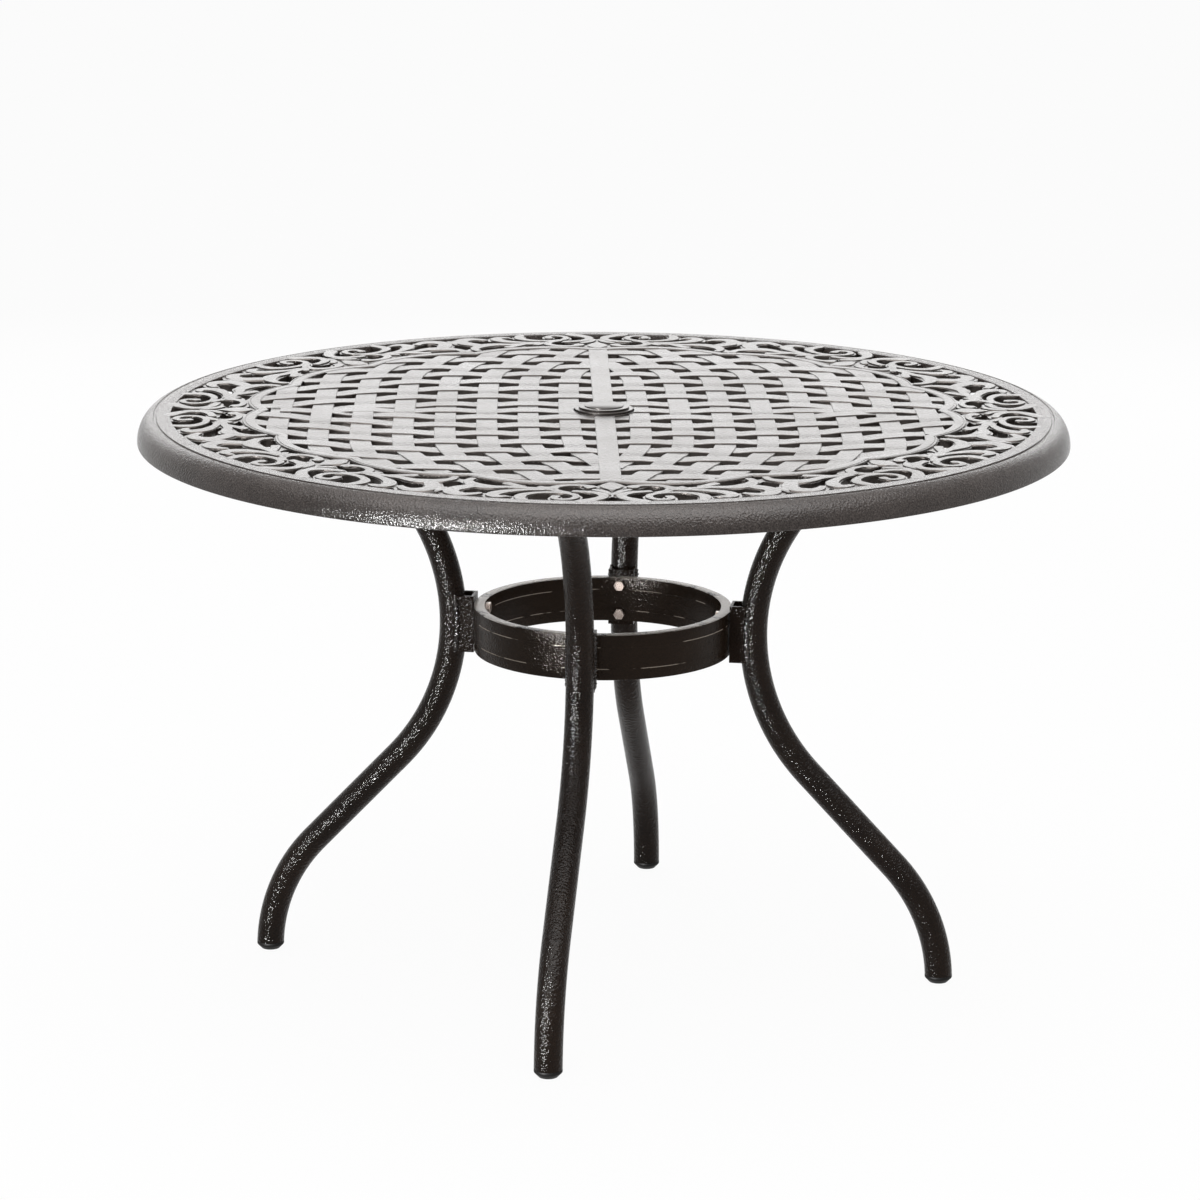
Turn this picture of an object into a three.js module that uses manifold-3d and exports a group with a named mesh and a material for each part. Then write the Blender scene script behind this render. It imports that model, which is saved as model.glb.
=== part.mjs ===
// Round cast-aluminium umbrella table: a pierced, woven-pattern top on four bent tube
// legs that are tied together by a ring. Millimetres, +Z up, floor at z = 0.
import * as THREE from 'three';
import { mergeGeometries, mergeVertices } from 'three/addons/utils/BufferGeometryUtils.js';
import Module from 'manifold-3d';

const wasm = await Module();
wasm.setup();

// Values shared by every piece
const fit_gap = 0.3;
const overrun = 3;
const full_turn = 2 * Math.PI;
const quarter_turn = Math.PI / 2;
const degree = Math.PI / 180;

// The top as a whole
const table_diameter = 1200;
const table_height = 750;
const top_thickness = 7;
const rim_facets = 64;

// The rim: a flat band, then a roll that comes down to the skirt's lower edge
const rim_flat_width = 18;
const rim_roll_width = 25;
const rim_drop = 34;
const skirt_edge = 1;
const skirt_wall = 5;
const rim_roll_steps = 4;

// The scroll border, drawn once on half a repeat
const border_width = 107;
const border_repeats = 8;
const border_clear_share = 0.985;

// The scalloped frame between the border and the woven field
const frame_width = 16;
const frame_scallop = 20;
const frame_dip = 2;
const scallops_per_repeat = 2;

// The woven field
const strap_width = 27;
const strap_pitch = 53;
const first_strap = 46;
const cross_band_width = 26;
const bow_slope = 0.19;
const bow_start = 255;
const bow_softness = 50;
const smallest_hole = 8;
const corner_passes = 12;

// The umbrella hole, its lining ring and its plug
const hub_diameter = 80;
const hub_depth = 16;
const pole_bore = 51;
const lining_wall = 3.2;
const lining_length = 26;
const lining_flange_diameter = 75;
const lining_flange_thickness = 2.5;
const plug_cap_diameter = 65;
const plug_cap_thickness = 2.2;
const plug_button_diameter = 50;
const plug_button_height = 1.1;
const plug_stem_depth = 10;
const plug_wall = 2;
const hub_facets = 24;

// The legs: round tube, bent out above and below the waist
const leg_count = 4;
const leg_turn = -9.4 * degree;
const tube_diameter = 36;
const tube_wall = 2;
const tube_facets = 10;
const tube_steps = 18;
const waist_height = 462;
const waist_bend = 270;
const leg_slope = 43.5 * degree;
const foot_bend = 226;

// The push-in foot caps
const cap_height = 10;
const cap_tread_diameter = 24;
const cap_chamfer_height = 6.5;
const cap_stem_length = 12;
const cap_facets = 12;

// The plates on the leg tops and the pads that they bolt to
const pad_depth = 12;
const plate_length = 94;
const plate_width = 60;
const plate_thickness = 5;
const plate_bolt_edge = 14;
const plate_bolt_grip = 9;

// The ring that ties the legs, and its brackets
const ring_share = 0.28;
const ring_wall = 14;
const ring_height = 59;
const ring_facets = 48;
const bracket_reach = 12;
const bracket_width = 34;
const bracket_wall = 3.5;
const bracket_overhang = 8;
const ring_bolt_edge = 9.9;

// Fasteners
const bolt_diameter = 8;
const bolt_hole_diameter = 9;
const hex_across_flats = 13;
const bolt_head_height = 5.3;
const bolt_flange_diameter = 17;
const bolt_flange_thickness = 1.6;
const nut_thickness = 6.5;
const nut_bore_diameter = 8.8;
const bolt_end_past_nut = 1;
const shank_facets = 8;
const flange_facets = 12;
const hex_sides = 6;

// Sizes worked out from those above
const table_radius = table_diameter / 2;
const border_outer = table_radius - rim_flat_width - rim_roll_width;
const border_inner = border_outer - border_width;
const sector = full_turn / border_repeats;
const scallop_angle = sector / scallops_per_repeat;
const tube_radius = tube_diameter / 2;
const tube_bore = tube_radius - tube_wall;
const ring_outer = table_radius * ring_share;
const ring_inner = ring_outer - ring_wall;
const waist_radius = ring_outer + bracket_reach + tube_radius;
const lining_bore = pole_bore / 2;
const lining_outer = lining_bore + lining_wall;
const hub_bore = lining_outer + fit_gap;
const pad_underside = table_height - top_thickness - pad_depth;
const plate_top = pad_underside - fit_gap;
const plate_underside = plate_top - plate_thickness;
const leg_top = plate_underside - fit_gap;
const plate_bolt_spread = plate_length / 2 - plate_bolt_edge;
const ring_bolt_spread = ring_height / 2 - ring_bolt_edge;
const leg_bottom = cap_height + fit_gap;
const waist_run = waist_bend * Math.sin(leg_slope);
const waist_shift = waist_bend * (1 - Math.cos(leg_slope));
const foot_run = foot_bend * Math.sin(leg_slope);
const foot_shift = foot_bend * (1 - Math.cos(leg_slope));
const straight_drop = waist_height - waist_run - foot_run;
const foot_radius = waist_radius + waist_shift + straight_drop * Math.tan(leg_slope) + foot_shift;
const cap_radius = foot_radius - foot_bend
  + Math.sqrt(foot_bend * foot_bend - leg_bottom * leg_bottom);
const leg_top_radius = waist_radius + waist_shift
  + (leg_top - waist_height - waist_run) * Math.tan(leg_slope);
const hex_radius = hex_across_flats / 2 / Math.cos(full_turn / 2 / hex_sides);

// Finishes
const bronze = { color: 0x2b2421, roughness: 0.42, metalness: 0.7 };
const bronze_plastic = { color: 0x2a2422, roughness: 0.5, metalness: 0 };
const black_plastic = { color: 0x141312, roughness: 0.6, metalness: 0 };
const bright_steel = { color: 0xbfb9ae, roughness: 0.32, metalness: 1 };

const table = new THREE.Group();

function place(parent, name, geometry, finish) {
  const material = new THREE.MeshStandardMaterial(finish);
  const piece = new THREE.Mesh(geometry, material);
  piece.name = name;
  parent.add(piece);
  return piece;
}

// Solids that can be joined and cut
function solid(geometry) {
  const plain = geometry.index ? geometry.toNonIndexed() : geometry.clone();
  plain.deleteAttribute('normal');
  plain.deleteAttribute('uv');
  const welded = mergeVertices(plain);
  const shell = new wasm.Mesh({
    numProp: 3,
    vertProperties: new Float32Array(welded.attributes.position.array),
    triVerts: new Uint32Array(welded.index.array),
  });
  return new wasm.Manifold(shell);
}

function geometry_of(body) {
  const shell = body.getMesh();
  const geometry = new THREE.BufferGeometry();
  geometry.setAttribute('position', new THREE.BufferAttribute(shell.vertProperties, shell.numProp));
  geometry.setIndex(new THREE.BufferAttribute(shell.triVerts, 1));
  geometry.computeVertexNormals();
  return geometry;
}

function cut(body, tools) {
  return tools.reduce((rest, tool) => rest.subtract(tool), body);
}

function join(bodies) {
  return bodies.reduce((whole, body) => whole.add(body));
}

// Basic shapes, all with +Z up
function turned(profile, facets) {
  const points = profile.map(([radius, height]) => new THREE.Vector2(radius, height));
  points.push(points[0].clone());
  return new THREE.LatheGeometry(points, facets).rotateX(quarter_turn);
}

function prism(outline, bottom, top) {
  const shape = new THREE.Shape(outline);
  const geometry = new THREE.ExtrudeGeometry(shape, { depth: top - bottom, bevelEnabled: false });
  return geometry.translate(0, 0, bottom);
}

function upright_rod(radius, bottom, top, facets) {
  const geometry = new THREE.CylinderGeometry(radius, radius, top - bottom, facets);
  return geometry.rotateX(quarter_turn).translate(0, 0, (bottom + top) / 2);
}

// A rod along +X from one distance to another, at a side offset and a height
function radial_rod(radius, from, to, height, facets) {
  const geometry = new THREE.CylinderGeometry(radius, radius, to - from, facets);
  return geometry.rotateZ(-quarter_turn).translate((from + to) / 2, 0, height);
}

function polar(radius, angle) {
  return new THREE.Vector2(radius * Math.cos(angle), radius * Math.sin(angle));
}

function circle_outline(radius, facets) {
  return Array.from({ length: facets }, (_, step) => polar(radius, full_turn * step / facets));
}

// The frame's outer edge is a chain of shallow scallops round the woven field
function frame_edge(angle) {
  const within = (((angle / scallop_angle) % 1) + 1) % 1;
  const from_crown = 2 * within - 1;
  return border_inner - frame_dip + frame_scallop * (1 - from_crown * from_crown);
}

function field_edge(angle) {
  return frame_edge(angle) - frame_width;
}

// The woven field: straps run both ways and lean in towards the cross bands near the frame
function strap_bow(along) {
  const past = along - bow_start;
  return bow_slope * (past + Math.hypot(past, bow_softness));
}

function strap_edge(offset, along) {
  return Math.max(cross_band_width / 2, offset - strap_bow(along));
}

function cell_corner(column_offset, row_offset) {
  let x = column_offset;
  let y = row_offset;
  for (let pass = 0; pass < corner_passes; pass += 1) {
    x = strap_edge(column_offset, y);
    y = strap_edge(row_offset, x);
  }
  return new THREE.Vector2(x, y);
}

// The gaps between straps, counted outwards from the cross band
function strap_gaps() {
  const reach = border_inner + frame_scallop;
  const gaps = [];
  let inner = cross_band_width / 2;
  for (let centre = first_strap; centre < reach; centre += strap_pitch) {
    gaps.push([inner, centre - strap_width / 2]);
    inner = centre + strap_width / 2;
  }
  gaps.push([inner, reach]);
  return gaps;
}

function centre_of(outline) {
  const sum = outline.reduce((total, point) => total.add(point), new THREE.Vector2());
  return sum.divideScalar(outline.length);
}

// What is left of an outline inside the frame, which is taken as straight across one cell
function clip_to_frame(outline) {
  const angle = centre_of(outline).angle();
  const probe = degree / 4;
  const before = polar(field_edge(angle - probe), angle - probe);
  const after = polar(field_edge(angle + probe), angle + probe);
  const run = after.clone().sub(before);
  const outward = new THREE.Vector2(run.y, -run.x).normalize();
  const height_of = (point) => point.clone().sub(before).dot(outward);
  const kept = [];
  outline.forEach((point, index) => {
    const next = outline[(index + 1) % outline.length];
    const here = height_of(point);
    const there = height_of(next);
    if (here <= 0) kept.push(point);
    if (here * there < 0) kept.push(point.clone().lerp(next, here / (here - there)));
  });
  return kept;
}

function least_width(outline) {
  const area = Math.abs(THREE.ShapeUtils.area(outline));
  const box = new THREE.Box2().setFromPoints(outline).getSize(new THREE.Vector2());
  return area / Math.max(box.x, box.y);
}

function field_holes() {
  const holes = [];
  const gaps = strap_gaps();
  for (const [left, right] of gaps) {
    for (const [low, high] of gaps) {
      const cell = [
        cell_corner(left, low), cell_corner(right, low),
        cell_corner(right, high), cell_corner(left, high),
      ];
      const hole = clip_to_frame(cell);
      if (hole.length < 3 || least_width(hole) < smallest_hole) continue;
      for (const side of [1, -1]) {
        for (const end of [1, -1]) {
          holes.push(hole.map((point) => new THREE.Vector2(side * point.x, end * point.y)));
        }
      }
    }
  }
  return holes;
}

// Openings of the scroll border. Each point is a share of the way from the cusp axis to the
// next lobe axis, and a share of the way across the border, from the frame to the rim.
const side_opening_shares = [
  // Crescent behind the leaf on the cusp axis
  [[0.22, 0.985], [0.10, 0.82], [0.10, 0.66], [0.2, 0.59], [0.18, 0.72], [0.19, 0.86]],
  // Bay inside the tight scroll
  [[0.36, 0.985], [0.45, 0.985], [0.475, 0.8], [0.43, 0.68], [0.34, 0.64], [0.26, 0.70],
    [0.24, 0.84], [0.285, 0.87], [0.30, 0.75], [0.35, 0.76]],
  // Sliver between the tight scroll and the second leaf
  [[0.58, 0.83], [0.62, 0.81], [0.56, 0.65], [0.36, 0.54], [0.50, 0.67]],
  // Drop inside the broad scroll, with its tail
  [[0.80, 0.79], [0.865, 0.68], [0.84, 0.58], [0.76, 0.57], [0.58, 0.47], [0.72, 0.67]],
  // Almond under the broad scroll
  [[0.66, 0.33], [0.81, 0.31], [0.91, 0.18], [0.89, 0.085], [0.75, 0.16]],
  // Kite between the frame and the stem
  [[0.39, 0.20], [0.486, 0.33], [0.552, 0.26], [0.537, 0.18]],
  // Bay under the cusp leaf
  [[0.256, 0.51], [0.32, 0.40], [0.29, 0.26], [0.235, 0.23], [0.10, 0.31], [0.20, 0.41]],
];
const cusp_opening_shares = [
  [[-0.078, 0.985], [0.078, 0.985], [0, 0.71]],
];
const lobe_opening_shares = [
  [[0.915, 0.985], [1.085, 0.985], [1, 0.84]],
  [[1, 0.57], [0.94, 0.45], [0.94, 0.34], [1, 0.25], [1.06, 0.34], [1.06, 0.45]],
];

function border_point([along_share, across_share], mirror, turn) {
  const across = Math.min(across_share, border_clear_share);
  const angle = turn + mirror * along_share * sector / 2;
  return polar(border_inner + across * border_width, angle);
}

function border_holes() {
  const holes = [];
  for (let repeat = 0; repeat < border_repeats; repeat += 1) {
    const turn = repeat * sector;
    for (const mirror of [1, -1]) {
      for (const outline of side_opening_shares) {
        holes.push(outline.map((point) => border_point(point, mirror, turn)));
      }
    }
    for (const outline of [...cusp_opening_shares, ...lobe_opening_shares]) {
      holes.push(outline.map((point) => border_point(point, 1, turn)));
    }
  }
  return holes;
}

// The rim's section, from the border round the roll and back inside the skirt
function rim_profile() {
  const roll_start = table_radius - rim_roll_width;
  const roll_height = rim_drop - skirt_edge;
  const roll = (width, drop, centre) => {
    const arc = [];
    for (let step = 0; step <= rim_roll_steps; step += 1) {
      const angle = quarter_turn * step / rim_roll_steps;
      arc.push([roll_start + width * Math.cos(angle), centre + drop * Math.sin(angle)]);
    }
    return arc;
  };
  const bottom = table_height - rim_drop;
  const outside = roll(rim_roll_width, roll_height, bottom + skirt_edge);
  const inside = roll(rim_roll_width - skirt_wall, roll_height - top_thickness, bottom + skirt_edge);
  return [
    [table_radius - skirt_wall, bottom],
    [table_radius, bottom],
    ...outside,
    [border_outer, table_height],
    [border_outer, table_height - top_thickness],
    ...inside.reverse(),
  ];
}

// The four pads under the woven field that the leg plates bolt to
function leg_pad(turn) {
  const block = new THREE.BoxGeometry(plate_width, plate_length, pad_depth + top_thickness / 2);
  block.translate(leg_top_radius, 0, pad_underside + (pad_depth + top_thickness / 2) / 2);
  return solid(block.rotateZ(turn));
}

function plate_bolt_places() {
  return [1, -1].map((side) => new THREE.Vector2(leg_top_radius, side * plate_bolt_spread));
}

function pad_bolt_holes(turn) {
  return plate_bolt_places().map((spot) => {
    const top = pad_underside + plate_bolt_grip + fit_gap;
    const hole = upright_rod(bolt_hole_diameter / 2, pad_underside - overrun, top, shank_facets);
    return solid(hole.translate(spot.x, spot.y, 0).rotateZ(turn));
  });
}

const leg_turns = Array.from({ length: leg_count }, (_, index) => {
  return leg_turn + full_turn * index / leg_count;
});

function table_top() {
  const sheet_radius = border_outer + rim_flat_width / 2;
  const sheet_underside = table_height - top_thickness;
  const plain_sheet = upright_rod(sheet_radius, sheet_underside, table_height, rim_facets);
  const openings = [...field_holes(), ...border_holes()].map((outline) => {
    return prism(outline, sheet_underside - overrun, table_height + overrun);
  });
  const sheet = solid(plain_sheet).subtract(solid(mergeGeometries(openings)));
  const hub = upright_rod(hub_diameter / 2, table_height - hub_depth, table_height, hub_facets);
  const bore = upright_rod(hub_bore, table_height - hub_depth - overrun,
    table_height + overrun, hub_facets);
  const rim = turned(rim_profile(), rim_facets);
  const casting = join([sheet, solid(rim), solid(hub), ...leg_turns.map(leg_pad)]);
  return cut(casting, [solid(bore), ...leg_turns.flatMap(pad_bolt_holes)]);
}

place(table, 'table_top', geometry_of(table_top()), bronze);

// The plastic ring that lines the umbrella hole
const flange_seat = table_height + fit_gap;
const flange_top = flange_seat + lining_flange_thickness;
const lining_bottom = flange_top - lining_length;
const lining_profile = [
  [lining_bore, lining_bottom],
  [lining_outer, lining_bottom],
  [lining_outer, flange_seat],
  [lining_flange_diameter / 2, flange_seat],
  [lining_flange_diameter / 2, flange_top],
  [lining_bore, flange_top],
];
place(table, 'umbrella_ring', turned(lining_profile, hub_facets), bronze_plastic);

// The plug that closes the hole while no umbrella is up
const cap_seat = flange_top + fit_gap;
const cap_top = cap_seat + plug_cap_thickness;
const button_top = cap_top + plug_button_height;
const stem_radius = lining_bore - fit_gap;
const stem_bottom = cap_seat - plug_stem_depth;
const plug_profile = [
  [0, cap_seat],
  [stem_radius - plug_wall, cap_seat],
  [stem_radius - plug_wall, stem_bottom],
  [stem_radius, stem_bottom],
  [stem_radius, cap_seat],
  [plug_cap_diameter / 2, cap_seat],
  [plug_cap_diameter / 2, cap_top],
  [plug_button_diameter / 2, cap_top],
  [plug_button_diameter / 2, button_top],
  [0, button_top],
];
place(table, 'umbrella_plug', turned(plug_profile, hub_facets), bronze_plastic);

// The tie ring, bored for two bolts at each leg
function ring_bolt_heights() {
  return [1, -1].map((side) => waist_height + side * ring_bolt_spread);
}

function tie_ring() {
  const low = waist_height - ring_height / 2;
  const high = waist_height + ring_height / 2;
  const profile = [[ring_inner, low], [ring_outer, low], [ring_outer, high], [ring_inner, high]];
  const bores = leg_turns.flatMap((turn) => ring_bolt_heights().map((height) => {
    const bore = radial_rod(bolt_hole_diameter / 2, ring_inner - overrun, ring_outer + overrun,
      height, shank_facets);
    return solid(bore.rotateZ(turn));
  }));
  return cut(solid(turned(profile, ring_facets)), bores);
}

place(table, 'leg_ring', geometry_of(tie_ring()), bronze);

// The leg's centre line, from the foot up, in the plane through the table's axis
class LegLine extends THREE.Curve {
  constructor() {
    super();
    const start = Math.asin(leg_bottom / foot_bend);
    const run_out = (leg_top - waist_height - waist_run) + overrun + tube_diameter;
    this.line = new THREE.Path();
    this.line.absarc(foot_radius - foot_bend, 0, foot_bend, start, leg_slope);
    this.line.absarc(waist_radius + waist_bend, waist_height, waist_bend,
      Math.PI + leg_slope, Math.PI - leg_slope, true);
    this.line.lineTo(waist_radius + waist_shift + run_out * Math.tan(leg_slope),
      waist_height + waist_run + run_out);
  }

  getPoint(share) {
    const point = this.line.getPointAt(share);
    return new THREE.Vector3(point.x, 0, point.y);
  }
}

function leg_tube() {
  const section = new THREE.Shape(circle_outline(tube_radius, tube_facets));
  section.holes = [new THREE.Path(circle_outline(tube_bore, tube_facets))];
  const swept = new THREE.ExtrudeGeometry(section, {
    steps: tube_steps, extrudePath: new LegLine(), bevelEnabled: false,
  });
  const reach = table_radius + table_height;
  const above = new THREE.BoxGeometry(reach, reach, reach);
  above.translate(leg_top_radius, 0, leg_top + reach / 2);
  const below = new THREE.BoxGeometry(reach, reach, reach);
  below.translate(foot_radius, 0, leg_bottom - reach / 2);
  return cut(solid(swept), [solid(above), solid(below)]);
}

// The plate welded across the leg's top
function leg_plate() {
  const block = new THREE.BoxGeometry(plate_width, plate_length, plate_thickness);
  block.translate(leg_top_radius, 0, (plate_top + plate_underside) / 2);
  const holes = plate_bolt_places().map((spot) => {
    const hole = upright_rod(bolt_hole_diameter / 2, plate_underside - overrun,
      plate_top + overrun, shank_facets);
    return solid(hole.translate(spot.x, spot.y, 0));
  });
  return cut(solid(block), holes);
}

// A flanged hex bolt that stands up through the plate into the pad
function plate_bolt() {
  const flange_top_height = plate_underside - fit_gap;
  const flange_low = flange_top_height - bolt_flange_thickness;
  const head_low = flange_low - bolt_head_height;
  const shank_top = pad_underside + plate_bolt_grip;
  return join([
    solid(upright_rod(bolt_diameter / 2, flange_low, shank_top, shank_facets)),
    solid(upright_rod(bolt_flange_diameter / 2, flange_low, flange_top_height, flange_facets)),
    solid(upright_rod(hex_radius, head_low, flange_low, hex_sides)),
  ]);
}

// The channel between the ring and the leg: a web on the ring, two flanges to the tube
const web_inner = ring_outer + fit_gap;
const web_outer = web_inner + bracket_wall;

function tube_front(offset) {
  const reach = tube_radius + fit_gap;
  return waist_radius - Math.sqrt(reach * reach - offset * offset);
}

function ring_bracket() {
  const half = bracket_width / 2;
  const bay = half - bracket_wall;
  const outline = [
    [web_inner, half], [web_inner, -half], [tube_front(half), -half], [tube_front(bay), -bay],
    [web_outer, -bay], [web_outer, bay], [tube_front(bay), bay], [tube_front(half), half],
  ].map(([x, y]) => new THREE.Vector2(x, y));
  const rise = ring_height / 2 + bracket_overhang;
  const channel = prism(outline, waist_height - rise, waist_height + rise);
  const bores = ring_bolt_heights().map((height) => {
    const bore = radial_rod(bolt_hole_diameter / 2, web_inner - overrun, web_outer + overrun,
      height, shank_facets);
    return solid(bore);
  });
  return cut(solid(channel), bores);
}

// The ring's bolts have their heads inside the ring and their nuts in the channel
const nut_start = web_outer + fit_gap;
const nut_end = nut_start + nut_thickness;
const head_seat = ring_inner * Math.cos(full_turn / 2 / ring_facets) - fit_gap;

function ring_bolt(height) {
  const shank_end = nut_end + bolt_end_past_nut;
  return join([
    solid(radial_rod(hex_radius, head_seat - bolt_head_height, head_seat, height, hex_sides)),
    solid(radial_rod(bolt_diameter / 2, head_seat - bolt_head_height / 2, shank_end,
      height, shank_facets)),
  ]);
}

function ring_nut(height) {
  const block = solid(radial_rod(hex_radius, nut_start, nut_end, height, hex_sides));
  const bore = radial_rod(nut_bore_diameter / 2, nut_start - overrun, nut_end + overrun,
    height, shank_facets);
  return block.subtract(solid(bore));
}

// The plastic cap in the tube's lower end
function foot_cap() {
  const stem = tube_bore * Math.cos(full_turn / 2 / tube_facets) - fit_gap;
  const stem_top = cap_height + cap_stem_length;
  const first_step = new LegLine().getLength() / tube_steps;
  const lean = Math.asin((leg_bottom + first_step / 2) / foot_bend);
  const stem_taper = cap_stem_length * Math.tan(lean) + fit_gap;
  const profile = [
    [0, 0],
    [cap_tread_diameter / 2, 0],
    [tube_radius, cap_chamfer_height],
    [tube_radius, cap_height],
    [stem, cap_height],
    [stem - stem_taper, stem_top],
    [0, stem_top],
  ];
  return turned(profile, cap_facets).translate(cap_radius, 0, 0);
}

const corner_names = ['right', 'back', 'left', 'front'];
leg_turns.forEach((turn, index) => {
  const name = corner_names[index % corner_names.length];
  const corner = new THREE.Group();
  corner.rotation.z = turn;
  table.add(corner);
  place(corner, `leg_${name}`, geometry_of(leg_tube()), bronze);
  place(corner, `leg_plate_${name}`, geometry_of(leg_plate()), bronze);
  place(corner, `ring_bracket_${name}`, geometry_of(ring_bracket()), bronze);
  place(corner, `foot_cap_${name}`, foot_cap(), black_plastic);
  plate_bolt_places().forEach((spot, number) => {
    const bolt = place(corner, `plate_bolt_${name}_${number + 1}`, geometry_of(plate_bolt()),
      bright_steel);
    bolt.position.set(spot.x, spot.y, 0);
  });
  ring_bolt_heights().forEach((height, number) => {
    place(corner, `ring_bolt_${name}_${number + 1}`, geometry_of(ring_bolt(height)), bright_steel);
    place(corner, `ring_nut_${name}_${number + 1}`, geometry_of(ring_nut(height)), bright_steel);
  });
});

export default table;
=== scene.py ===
"""Round cast umbrella table on four bent tube legs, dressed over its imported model."""

import math

import bmesh
import bpy
from mathutils import Matrix, Vector
from mathutils.geometry import delaunay_2d_cdt


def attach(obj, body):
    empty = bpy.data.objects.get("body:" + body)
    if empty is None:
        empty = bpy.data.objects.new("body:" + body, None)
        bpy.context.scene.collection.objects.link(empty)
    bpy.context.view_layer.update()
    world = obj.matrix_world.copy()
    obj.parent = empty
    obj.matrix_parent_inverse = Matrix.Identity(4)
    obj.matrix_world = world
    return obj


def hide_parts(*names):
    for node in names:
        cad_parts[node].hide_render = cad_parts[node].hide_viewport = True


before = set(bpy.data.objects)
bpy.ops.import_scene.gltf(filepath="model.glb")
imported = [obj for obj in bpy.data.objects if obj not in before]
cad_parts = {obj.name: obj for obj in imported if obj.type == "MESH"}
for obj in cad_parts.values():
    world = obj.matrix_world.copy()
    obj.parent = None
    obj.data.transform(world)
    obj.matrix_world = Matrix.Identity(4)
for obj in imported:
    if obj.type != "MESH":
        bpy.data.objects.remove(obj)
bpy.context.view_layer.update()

FULL_TURN = 2 * math.pi
MM = 0.001

# Sizes of the top, in millimetres, as in the part's source
TABLE_RADIUS = 600
TABLE_HEIGHT = 750
TOP_THICKNESS = 7
RIM_ROLL_WIDTH = 25
RIM_DROP = 34
SKIRT_EDGE = 1
SKIRT_WALL = 5
BORDER_OUTER = 557
BORDER_INNER = 450
BORDER_WIDTH = BORDER_OUTER - BORDER_INNER
BORDER_REPEATS = 8
FRAME_WIDTH = 16
FRAME_SCALLOP = 20
FRAME_DIP = 2
SCALLOP_ANGLE = FULL_TURN / BORDER_REPEATS / 2
STRAP_WIDTH = 27
STRAP_PITCH = 53
FIRST_STRAP = 46
CROSS_BAND_WIDTH = 26
BOW_SLOPE = 0.19
BOW_START = 255
BOW_SOFTNESS = 50

# Sizes of the hub, the legs, the ring and the fasteners
HUB_RADIUS = 40
HUB_DEPTH = 16
HUB_BORE = 29
PLUG_STEM_DEPTH = 10
POLE_RADIUS = 25.5
LEG_TURN = math.radians(-9.4)
TUBE_RADIUS = 18
WAIST_RADIUS = 198
WAIST_HEIGHT = 462
WAIST_BEND = 270
LEG_SLOPE = math.radians(43.5)
FOOT_BEND = 226
FOOT_RADIUS = 448.64
FOOT_CAP_RADIUS = 448.40
LEG_TOP = 725.4
LEG_TOP_RADIUS = 345.74
PAD_UNDERSIDE = 731
PLATE_LENGTH = 94
PLATE_WIDTH = 60
RING_OUTER = 168
RING_INNER = 154
RING_HEIGHT = 59
RING_BOLT_SPREAD = 19.6
# The ring's two beads, as shares of its height from its top
RING_BEAD_SHARES = (0.27, 0.75)
CORNERS = ("right", "back", "left", "front")


# Node trees

def socket_of(sockets, key):
    """A socket by its place, its identifier or its name."""
    if isinstance(key, int):
        return sockets[key]
    for socket in sockets:
        if socket.identifier == key:
            return socket
    return sockets[key]


class Graph:
    """Adds nodes to one shader or geometry tree."""

    def __init__(self, tree):
        self.tree = tree

    def add(self, kind, settings=None, inputs=None):
        node = self.tree.nodes.new(kind)
        for name, value in (settings or {}).items():
            setattr(node, name, value)
        for key, value in (inputs or {}).items():
            socket = socket_of(node.inputs, key)
            if isinstance(value, Wire):
                self.tree.links.new(value.socket, socket)
            else:
                socket.default_value = value
        return node

    def wire(self, kind, settings=None, inputs=None, output=0):
        node = self.add(kind, settings, inputs)
        return Wire(self, socket_of(node.outputs, output))

    def math(self, operation, *values):
        return self.wire("ShaderNodeMath", {"operation": operation}, dict(enumerate(values)))

    def mix_colour(self, factor, low, high):
        return self.wire("ShaderNodeMix", {"data_type": "RGBA"},
                         {"Factor_Float": factor, "A_Color": low, "B_Color": high},
                         "Result_Color")

    def spread(self, value, span, low=0.0, high=1.0):
        """Stretches a span of values so that it runs from low to high."""
        return self.wire("ShaderNodeMapRange", {"clamp": True}, {
            "Value": value, "From Min": span[0], "From Max": span[1],
            "To Min": low, "To Max": high}, "Result")

    def place(self):
        """The place on the object, in metres, which its patterns read."""
        return self.wire("ShaderNodeTexCoord", None, None, "Object")

    def noise(self, place, waves, detail, roughness):
        return self.wire("ShaderNodeTexNoise", None, {
            "Vector": place, "Scale": waves, "Detail": detail, "Roughness": roughness}, "Fac")

    def bump(self, height):
        return self.wire("ShaderNodeBump", None, {
            "Strength": 1.0, "Distance": 1.0, "Height": height}, "Normal")

    def note(self, geometry, label, value):
        """Stores a number on every point of the geometry, under a label."""
        return self.wire("GeometryNodeStoreNamedAttribute",
                         {"data_type": "FLOAT", "domain": "POINT"},
                         {"Geometry": geometry, "Name": label, "Value": value})

    def noted(self, label):
        return self.wire("GeometryNodeInputNamedAttribute", {"data_type": "FLOAT"},
                         {"Name": label}, "Attribute")

    def turned_copies(self, stations, piece, turn):
        """A copy of the piece at every station, turned round the upright axis."""
        rotation = self.wire("FunctionNodeAxisAngleToRotation", None,
                             {"Axis": (0.0, 0.0, 1.0), "Angle": turn})
        return self.wire("GeometryNodeInstanceOnPoints", None, {
            "Points": stations, "Instance": piece, "Rotation": rotation})


class Wire:
    """An output socket that can be used in sums."""

    def __init__(self, graph, socket):
        self.graph = graph
        self.socket = socket

    def __add__(self, other):
        return self.graph.math("ADD", self, other)

    def __sub__(self, other):
        return self.graph.math("SUBTRACT", self, other)

    def __rsub__(self, other):
        return self.graph.math("SUBTRACT", other, self)

    def __mul__(self, other):
        return self.graph.math("MULTIPLY", self, other)

    __radd__ = __add__
    __rmul__ = __mul__


# Finishes

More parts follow.
